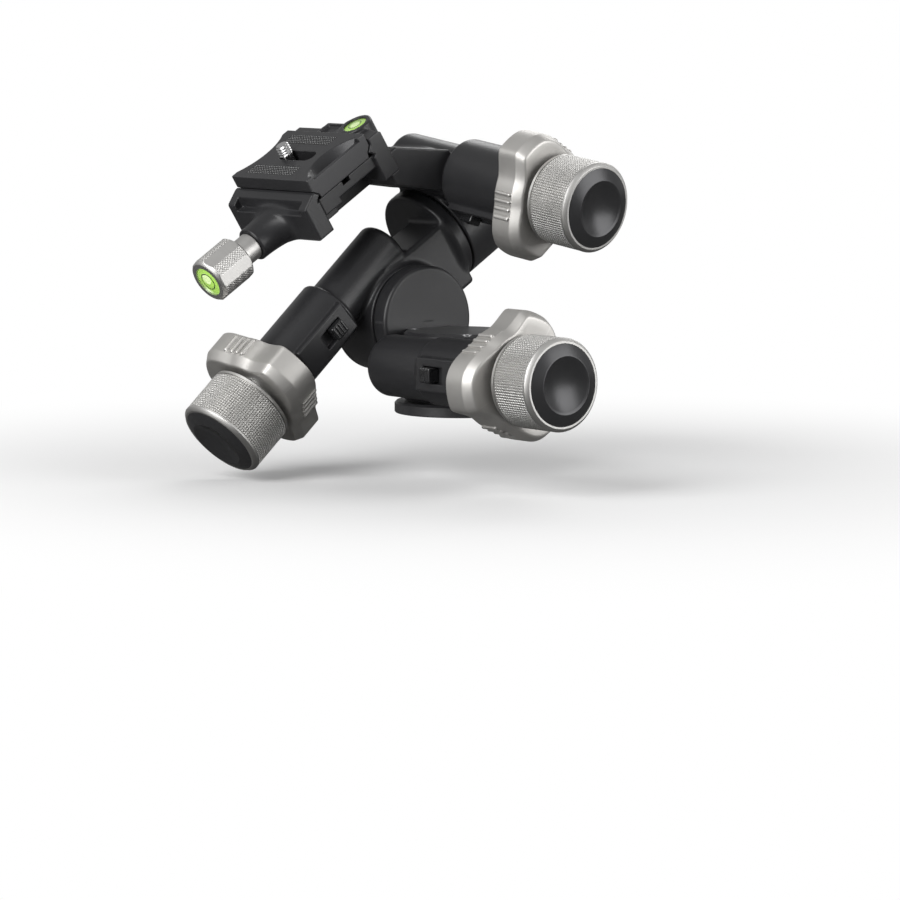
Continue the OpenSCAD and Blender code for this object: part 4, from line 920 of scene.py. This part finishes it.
def body_field(p):
    """Bed slab with its middle rail, guides for the pins, ridge and boss of the level, far jaw."""
    m = mirrored(p)
    form = block(p, (-28, BED_NEAR, 57.7), (28, 19, BED_TOP), edge=0.6)
    form = np.minimum(form, slab(p, FAR_JAW, -JAW_HALF, JAW_HALF, edge=0.5))
    form = join(form, block(p, (-9, BED_NEAR, 50.2), (9, 19, 63), edge=0.6), fillet=1.2)
    guide = block(m, (PINS_X - 3.7, BED_NEAR, 51.2), (PINS_X + 3.7, -8.6, 63), edge=0.6)
    cheek = block(m, (PINS_X, BED_NEAR, 55.1), (28, -6.6, 61), edge=0.6)
    form = np.minimum(form, np.minimum(guide, cheek))
    boss = drum(p, BED_TOP, 74, 8.0, edge=0.8, x=LEVEL_X, y=LEVEL_Y)
    ridge = block(p, (-12, PLATE_GAP, BED_TOP), (12, 30.3, 72.8), edge=1.6)
    form = join(form, join(boss, ridge, fillet=2.5), fillet=1.5)
    form = cut(form, block(p, (-9, 22, 71.6), (1.5, 28, 76), edge=1.0), fillet=0.4)
    form = bore(form, block(p, (-60, -38, 68.7), (60, PLATE_GAP, 90)))
    form = cut(form, drum(p, 70, 76, 5.62, x=LEVEL_X, y=LEVEL_Y), fillet=0.3)
    form = bore(form, rod_y(m, -20, -10.4, 1.85, PINS_X, PIN_Z))
    form = bore(form, rod_y(p, -20, -1.6, 3.05, 0, SCREW_Z))
    form = bore(form, block(m, (12, -2.3, 61.25), (61, 2.3, 65)))
    for y in BOLTS_Y:
        form = bore(form, drum(p, 49, 57.8, BOLT_R, y=y))
    return form


SADDLE_FROM, SADDLE_REACH, SADDLE_POWER = -22.0, 21.0, 2.2
BOSS_R, SADDLE_WIDER, SADDLE_TALLER = 8.2, 12.0, 1.2
BOSS_MIDDLE, BOSS_HALF, BOSS_EDGE = -32.5, 10.5, 0.8


def jaw_field(p):
    """Jaw plate with an ear at each end, and a saddle that narrows to the round boss.
    The saddle's half width = BOSS_R + wider * (1 - reach)^power, and its half height is alike."""
    plate = slab(p, NEAR_JAW, -JAW_HALF, JAW_HALF, edge=0.9)
    plate = cut(plate, block(p, (-24.5, -40, 61.5), (24.5, -23.5, 75), edge=0.8), fillet=0.6)
    reach = np.clip((SADDLE_FROM - p[1]) / SADDLE_REACH, 0, 1)
    narrowing = (1 - reach) ** SADDLE_POWER
    wide, tall = BOSS_R + SADDLE_WIDER * narrowing, BOSS_R + SADDLE_TALLER * narrowing
    radial = (np.hypot(p[0] / wide, (p[2] - SCREW_Z) / tall) - 1) * np.minimum(wide, tall)
    ends = np.abs(p[1] - BOSS_MIDDLE) - (BOSS_HALF - BOSS_EDGE)
    form = join(plate, corner(radial + BOSS_EDGE, ends, BOSS_EDGE), fillet=2.5)
    form = bore(form, rod_y(p, -45, -10, 4.5, 0, SCREW_Z))
    return bore(form, rod_y(mirrored(p), -24.3, -10, 1.82, PINS_X, PIN_Z))


body_box, jaw_box = ((-32, -20, 48), (32, 38, 76)), ((-32, -45, 41), (32, -15, 71))
clamp_casting = surface("clamp_casting", body_field, clamp_place, body_box, CLAMP_STEP)
dress(clamp_casting, "roll_head", "black_casting", "clamp_body")
jaw_casting = surface("jaw_casting", jaw_field, clamp_place, jaw_box, CLAMP_STEP)
dress(jaw_casting, "jaw", "black_casting", "clamp_jaw")

# %% Quick-release plate
PLATE_SIDE = [(15.89, 64), (16.4, 66.4), (19, 69), (19, 75), (-19, 75), (-19, 69), (-16.4, 66.4),
              (-15.89, 64)]
PLATE_HALF, PLATE_TOP, PLATE_PAST = 29.0, 75.0, 77.0
HOLLOW_END_X, HOLLOW_END_R = -50.0, 26.0
SCOOP_X, SCOOP_R, SCOOP_FLOOR, SCOOP_TO = 37.0, 19.0, 70.0, 26.4
SCOOP_SLOPE, SCOOP_UNIT = 0.8, 0.78
LIP_X, LIP_HALF, LIP_TOP = 26.3, 15.0, 73.2
PAD_X, PAD_Y, PAD_WIDE, PAD_FLOOR = (-21.0, 13.0), 12.2, 3.3, 74.4
STOPS_X, STOP_R, STOP_TOP = 22.0, 1.82, 66.8
PLATE_SLOT_X, PLATE_SLOT_R, HEAD_SLOT_R, HEAD_SLOT_TOP = (-8, 9), 3.6, 6.65, 67.2


def slot_distance(p, radius):
    """Distance in x and y to a long hole, whose centre line is PLATE_SLOT_X."""
    return np.hypot(p[0] - np.clip(p[0], *PLATE_SLOT_X), p[1]) - radius


def plate_field(p):
    """Dovetail slab: one hollow end, a scoop and a lower lip at the other, pads, stops and slot.
    The scoop's wall slopes, and SCOOP_UNIT = 1 / root(1 + slope^2) makes its distance true."""
    form = slab(p, PLATE_SIDE, -PLATE_HALF, PLATE_HALF, edge=0.35)
    form = cut(form, np.hypot(p[0] - HOLLOW_END_X, p[1]) - HOLLOW_END_R, fillet=0.3)
    wall = np.hypot(p[0] - SCOOP_X, p[1]) - SCOOP_R + SCOOP_SLOPE * (PLATE_TOP - p[2])
    scoop = np.maximum(wall * SCOOP_UNIT, np.maximum(SCOOP_FLOOR - p[2], p[0] - SCOOP_TO))
    form = cut(form, scoop, fillet=0.4)
    lip = block(p, (LIP_X, -LIP_HALF, LIP_TOP), (31, LIP_HALF, PLATE_PAST))
    form = cut(form, lip, fillet=0.3)
    pad_low, pad_high = (PAD_X[0], PAD_Y - PAD_WIDE, PAD_FLOOR), (PAD_X[1], PAD_Y + PAD_WIDE, PLATE_PAST)
    form = bore(form, block(mirrored(p, axis=1), pad_low, pad_high))
    form = bore(form, drum(mirrored(p), 63, STOP_TOP, STOP_R, x=STOPS_X))
    form = cut(form, slot_distance(p, PLATE_SLOT_R), fillet=0.4)
    return bore(form, np.maximum(slot_distance(p, HEAD_SLOT_R), p[2] - HEAD_SLOT_TOP))


plate_box = ((-31, -21, 62.5), (31, 21, 76.5))
plate_piece = surface("milled_plate", plate_field, clamp_place, plate_box, step=0.4)
dress(plate_piece, "roll_head", "black_anodised", "quick_plate")

# %% Studded pads
PAD_ROWS, PAD_COLUMNS = 273, 54
PAD_PITCH, PAD_RELIEF, PAD_TOP, PAD_GAP = 1.3, 0.55, 75.25, 0.02


def studded_strip(middle_y):
    """Points of one strip: a top of fine studs, and sides that go down to the pad's floor.
    Height = PAD_TOP - relief * (1 - (sin u sin v)^2), with u and v along and across, over pitch."""
    half = PAD_WIDE - PAD_GAP
    along = np.linspace(PAD_X[0] + PAD_GAP, PAD_X[1] - PAD_GAP, PAD_ROWS)
    across = middle_y + np.linspace(-half, half, PAD_COLUMNS)
    u, v = np.meshgrid(along, across, indexing="ij")
    studs = (np.sin(u * np.pi / PAD_PITCH) * np.sin(v * np.pi / PAD_PITCH)) ** 2
    strip = np.stack([u, v, PAD_TOP - PAD_RELIEF * (1 - studs)], -1)
    strip = np.pad(strip, ((1, 1), (1, 1), (0, 0)), mode="edge")
    for rim in (strip[0], strip[-1], strip[:, 0], strip[:, -1]):
        rim[..., 2] = PAD_FLOOR + PAD_GAP
    return strip.reshape(-1, 3)


strips = [studded_strip(-PAD_Y), studded_strip(PAD_Y)]
strip_quads = grid_faces(PAD_ROWS + 2, PAD_COLUMNS + 2)
pad_quads = np.concatenate([strip_quads, strip_quads + len(strips[0])])
pad_points = clamp_place.to_frame(np.concatenate(strips))
pads = make_piece("studded_pads", pad_points, pad_quads, smooth_degrees=50)
dress(pads, "roll_head", "pad_rubber", "plate_pads")

# %% Camera screw with a real thread
THREAD_R, THREAD_PITCH, THREAD_DEPTH = 3.175, 1.27, 0.62
THREAD_FROM, THREAD_TO, THREAD_STEP = 75.3, 80.5, 0.1
NECK_R, TIP_R, TIP_GROWTH, LEAD_IN = 2.875, 2.55, 0.65, 0.7
TOOTH_STEEP, TOOTH_FLAT = 1.15, 0.05
SCREW_HEAD = [(64.25, AXIS_R), (64.25, 6.2), (64.4, 6.4), (66.5, 6.4), (66.65, 6.25), (66.65, NECK_R),
              (75.2, NECK_R)]
SCREW_TIP = [(THREAD_TO, 2.6), (THREAD_TO, AXIS_R)]


def threaded_screw():
    """Radius = THREAD_R - depth * tooth, and near the tip no more than a short cone's.
    Tooth = a clipped triangle wave of the height over the pitch, less the share of the turn."""
    place = Place(clamp_place.to_frame([-8, 0, 0]), clamp_place.axes[2], clamp_place.axes[0])
    t = np.linspace(0, 2 * np.pi, 96, endpoint=False)
    up = np.arange(THREAD_FROM, THREAD_TO - THREAD_STEP, THREAD_STEP)[:, None]
    phase = (up / THREAD_PITCH - t / (2 * np.pi)) % 1
    tooth = np.clip(np.abs(phase - 0.5) * 2 * TOOTH_STEEP - TOOTH_FLAT, 0, 1)
    cone = TIP_R + TIP_GROWTH * np.clip((THREAD_TO - up) / LEAD_IN, 0, 1)
    radius = np.minimum(THREAD_R - THREAD_DEPTH * tooth, cone)
    x, radius = with_ends(SCREW_HEAD, up[:, 0], radius, SCREW_TIP)
    return revolved("threaded_screw", place, x, radius, t, smooth_degrees=45, close_rows=False, flip=True)


dress(threaded_screw(), "camera_thread", "polished_steel", "camera_screw")

# %% Clamp knob: six smooth flats between knurled corners
FLAT_R, CLAMP_KNOB_R, CLAMP_GRIP = 10.28, 10.8, (54.0, 70.25, 0.25)
DIAMOND_LONG, DIAMOND_DEGREES, DIAMOND_DEPTH = 1.6, 8.0, 0.22
CLAMP_KNOB_BACK = [(53.0, 4.42), (43.25, 4.42), (43.25, 6.3), (43.45, 6.5), (52.2, 6.5), (52.2, 9.4),
                   (52.4, 9.7), (52.9, 10.3), (53.4, CLAMP_KNOB_R)]
CLAMP_KNOB_FRONT = [(70.5, CLAMP_KNOB_R), (70.8, 10.5), (71.2, 10.2), (71.6, 9.9), (72.0, 9.3),
                    (72.0, 7.25), (68.0, 7.25), (68.0, 4.42)]


def hexagonal_knob():
    """Radius = the smaller of the knurled round and the flat's distance / cos of the angle to it.
    The knurl's diamonds are the squares of two slanting waves, u + v and u - v."""
    place = Place(clamp_place.to_frame([0, 0, SCREW_Z]), -clamp_place.axes[1], clamp_place.axes[2])
    degrees = np.linspace(0, 360, 720, endpoint=False)
    grip = np.arange(*CLAMP_GRIP)
    u, v = grip[:, None] / DIAMOND_LONG, degrees / DIAMOND_DEGREES
    diamond = np.maximum(np.abs((u + v) % 1 - 0.5), np.abs((u - v) % 1 - 0.5)) * 2
    knurled = CLAMP_KNOB_R - DIAMOND_DEPTH * np.clip(2 * diamond - 1, 0, 1)
    x, radius = with_ends(CLAMP_KNOB_BACK, grip, knurled, CLAMP_KNOB_FRONT)
    radius = np.minimum(radius, FLAT_R / np.cos(np.radians((degrees + 30) % 60 - 30)))
    return revolved("flatted_knob", place, x, radius, np.radians(degrees), smooth_degrees=30, flip=True)


dress(hexagonal_knob(), "clamp_drive", "silver_anodised", "clamp_knob")

# %% [markdown]
# ## Levels
# A bubble level is bright fluid under a clear domed lens, with a printed circle and a bubble. The
# lens keeps its imported shape and takes a coat; circle and bubble come from the distance to the
# vial's axis. The bubble's pale disc is partly the bubble and partly a painted highlight.

# %% Level fluid
# The pale colour of the bubble is partly a painted highlight.
PALE_BUBBLE_HIGHLIGHT, GREEN_FLUID, CIRCLE_INK = (0.75, 0.95, 0.45), (0.42, 0.72, 0.12), (0.02, 0.05, 0.01)
CIRCLE_FROM, CIRCLE_TO, BUBBLE_SHARE = 0.52, 0.6, 0.4
CIRCLE_BLUR, BUBBLE_BLUR = 0.08, 0.12


def axis_distance(tree, place, shift):
    """Distance from a place's z axis, moved sideways by a shift: length of (point - centre) x axis."""
    where = new_node(tree, "TexCoord").outputs["Object"]
    centre = place.to_frame([shift[0], shift[1], 0]).tolist()
    off = new_node(tree, "VectorMath", {0: where, 1: centre}, operation="SUBTRACT")
    given = {0: off.outputs[0], 1: place.axes[2].tolist()}
    return length_of(tree, new_node(tree, "VectorMath", given, operation="CROSS_PRODUCT").outputs[0])


def soft_step(tree, value, edge, width):
    """Nought inside a radius and one outside it, over a narrow width."""
    given = {"From Min": (edge - width) * MM, "From Max": (edge + width) * MM, "Value": value}
    return new_node(tree, "MapRange", given).outputs[0]


def level_finish(name, place, radius, drift):
    """Green fluid, a dark circle at half the radius, and a pale bubble that has drifted a little; the pale disc is
    partly the bubble and partly a painted highlight.
    """
    material, tree, shader = new_material(name)
    reach = axis_distance(tree, place, (0, 0))
    inner = soft_step(tree, reach, radius * CIRCLE_FROM, CIRCLE_BLUR)
    outer = soft_step(tree, reach, radius * CIRCLE_TO, CIRCLE_BLUR)
    circle = calculate(tree, "SUBTRACT", inner, outer)
    # The pale disc drawn here is partly the bubble and partly a painted highlight.
    bubble = soft_step(tree, axis_distance(tree, place, drift), radius * BUBBLE_SHARE, BUBBLE_BLUR)
    fluid = blend_colours(tree, PALE_BUBBLE_HIGHLIGHT, GREEN_FLUID, bubble)
    feed(tree, shader, {"Base Color": blend_colours(tree, fluid, CIRCLE_INK, circle),
                        "Roughness": 0.12, "Coat Weight": 1.0, "Coat Roughness": 0.03})
    return material


level_place = clamp_place.moved([LEVEL_X, LEVEL_Y, 0])
knob_level_place = Place(clamp_place.to_frame([0, 0, SCREW_Z]), clamp_place.axes[0], -clamp_place.axes[1])
node_finish = {"clamp_level": level_finish("level_green", level_place, 5.6, (0.9, -0.6)),
               "knob_level": level_finish("knob_level_green", knob_level_place, 7.2, (0.0, 1.6))}

# %% [markdown]
# ## Finishes of the solids that stay
# Covers, screws, shafts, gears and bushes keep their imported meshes, whose shapes are right. Each
# gets the finish that its slot names.

# %% Dress the remaining solids
slot_of = {part["node"]: part["material_slot"] for part in frame["record"]["subparts"]}
kept = [node for node in frame["nodes"] if not bpy.data.objects[node].hide_render]
for node in kept:
    solid = bpy.data.objects[node]
    solid.data.materials.clear()
    solid.data.materials.append(node_finish.get(node, finishes.get(slot_of[node])))
print("solids kept:", len(kept))

# %% [markdown]
# ## Floor and light
# The head stands alone over a pale floor. Two large soft lamps, left and right of the camera at
# mid height, give the long highlights on the barrels, and a weaker one behind draws the rims. The
# background is white to the camera alone. The head itself gets a little light from it all round,
# and sees it as a middling grey in its glossy surfaces.

# %% Floor
FLOOR_DROP = 4 * MM
FLOOR_HALF = 12.0
FADE_FROM, FADE_TO = 0.04, 0.4
DIM_GREY = 0.12
PALE_GREY = 0.9

floor_z = float(np.array(cad_box)[0][2]) - FLOOR_DROP
floor_points = [(x * FLOOR_HALF, y * FLOOR_HALF, floor_z) for x, y in ((-1, -1), (1, -1), (1, 1), (-1, 1))]
floor_mesh = bpy.data.meshes.new("floor")
floor_mesh.from_pydata(floor_points, [], [(0, 1, 2, 3)])
floor = put_in_scene("floor", floor_mesh)


def fade_to_white(tree, near):
    """Camera rays see the floor's own shader near the head, and plain white further away. Glossy
    rays see a dim floor, so that the black caps below reflect a dark room as they do in the picture."""
    ray = new_node(tree, "LightPath").outputs
    away = length_of(tree, new_node(tree, "NewGeometry").outputs["Position"])
    given = {"From Min": FADE_FROM, "From Max": FADE_TO, "Value": away}
    fade = new_node(tree, "MapRange", given, interpolation_type="SMOOTHSTEP").outputs[0]
    share = calculate(tree, "MULTIPLY", fade, ray["Is Camera Ray"])
    white = new_node(tree, "Emission", {"Color": (1, 1, 1, 1)}).outputs[0]
    dim = new_node(tree, "BsdfDiffuse", {"Color": (DIM_GREY, DIM_GREY, DIM_GREY, 1)}).outputs[0]
    reflected = new_node(tree, "MixShader", {0: ray["Is Glossy Ray"], 1: near, 2: dim}).outputs[0]
    seen = new_node(tree, "MixShader", {0: share, 1: reflected, 2: white}).outputs[0]
    feed(tree, tree.nodes["Material Output"].inputs, {"Surface": seen})


floor_material, floor_tree, floor_shader = new_material("pale_floor")
feed(floor_tree, floor_shader, {"Base Color": (PALE_GREY, PALE_GREY, PALE_GREY, 1), "Roughness": 0.9})
fade_to_white(floor_tree, floor_tree.nodes["Principled BSDF"].outputs[0])
floor_mesh.materials.append(floor_material)
print("floor at", round(floor_z / MM, 1), "mm")

# %% World and lamps
AMBIENT, MIRRORED = 0.16, 0.42
HEAD = np.array([0.0, -0.01, 0.07])

world = bpy.data.worlds.new("studio")
bpy.context.scene.world = world
world.use_nodes = True
world_tree = world.node_tree
world_ray = new_node(world_tree, "LightPath").outputs
strength = blend_values(world_tree, AMBIENT, MIRRORED, world_ray["Is Glossy Ray"])
strength = calculate(world_tree, "MAXIMUM", strength, world_ray["Is Camera Ray"])
background = world_tree.nodes["Background"]
feed(world_tree, background.inputs, {"Color": (1, 1, 1, 1), "Strength": strength})


def soft_lamp(name, azimuth, elevation, distance, width, height, watts):
    """A rectangular lamp at an azimuth and elevation from the head, pointed at it."""
    data = bpy.data.lights.new(name, "AREA")
    data.shape = "RECTANGLE"
    data.size, data.size_y, data.energy = width, height, watts
    away, across = viewpoint(azimuth, elevation)
    face_back(put_in_scene(name, data), away, across, HEAD + away * distance)
    print(name, watts, "W")


soft_lamp("key", azimuth=8, elevation=24, distance=1.1, width=0.7, height=1.1, watts=14)
soft_lamp("fill", azimuth=122, elevation=8, distance=1.2, width=0.9, height=1.2, watts=13)
soft_lamp("rim", azimuth=215, elevation=35, distance=1.2, width=0.8, height=0.5, watts=4)
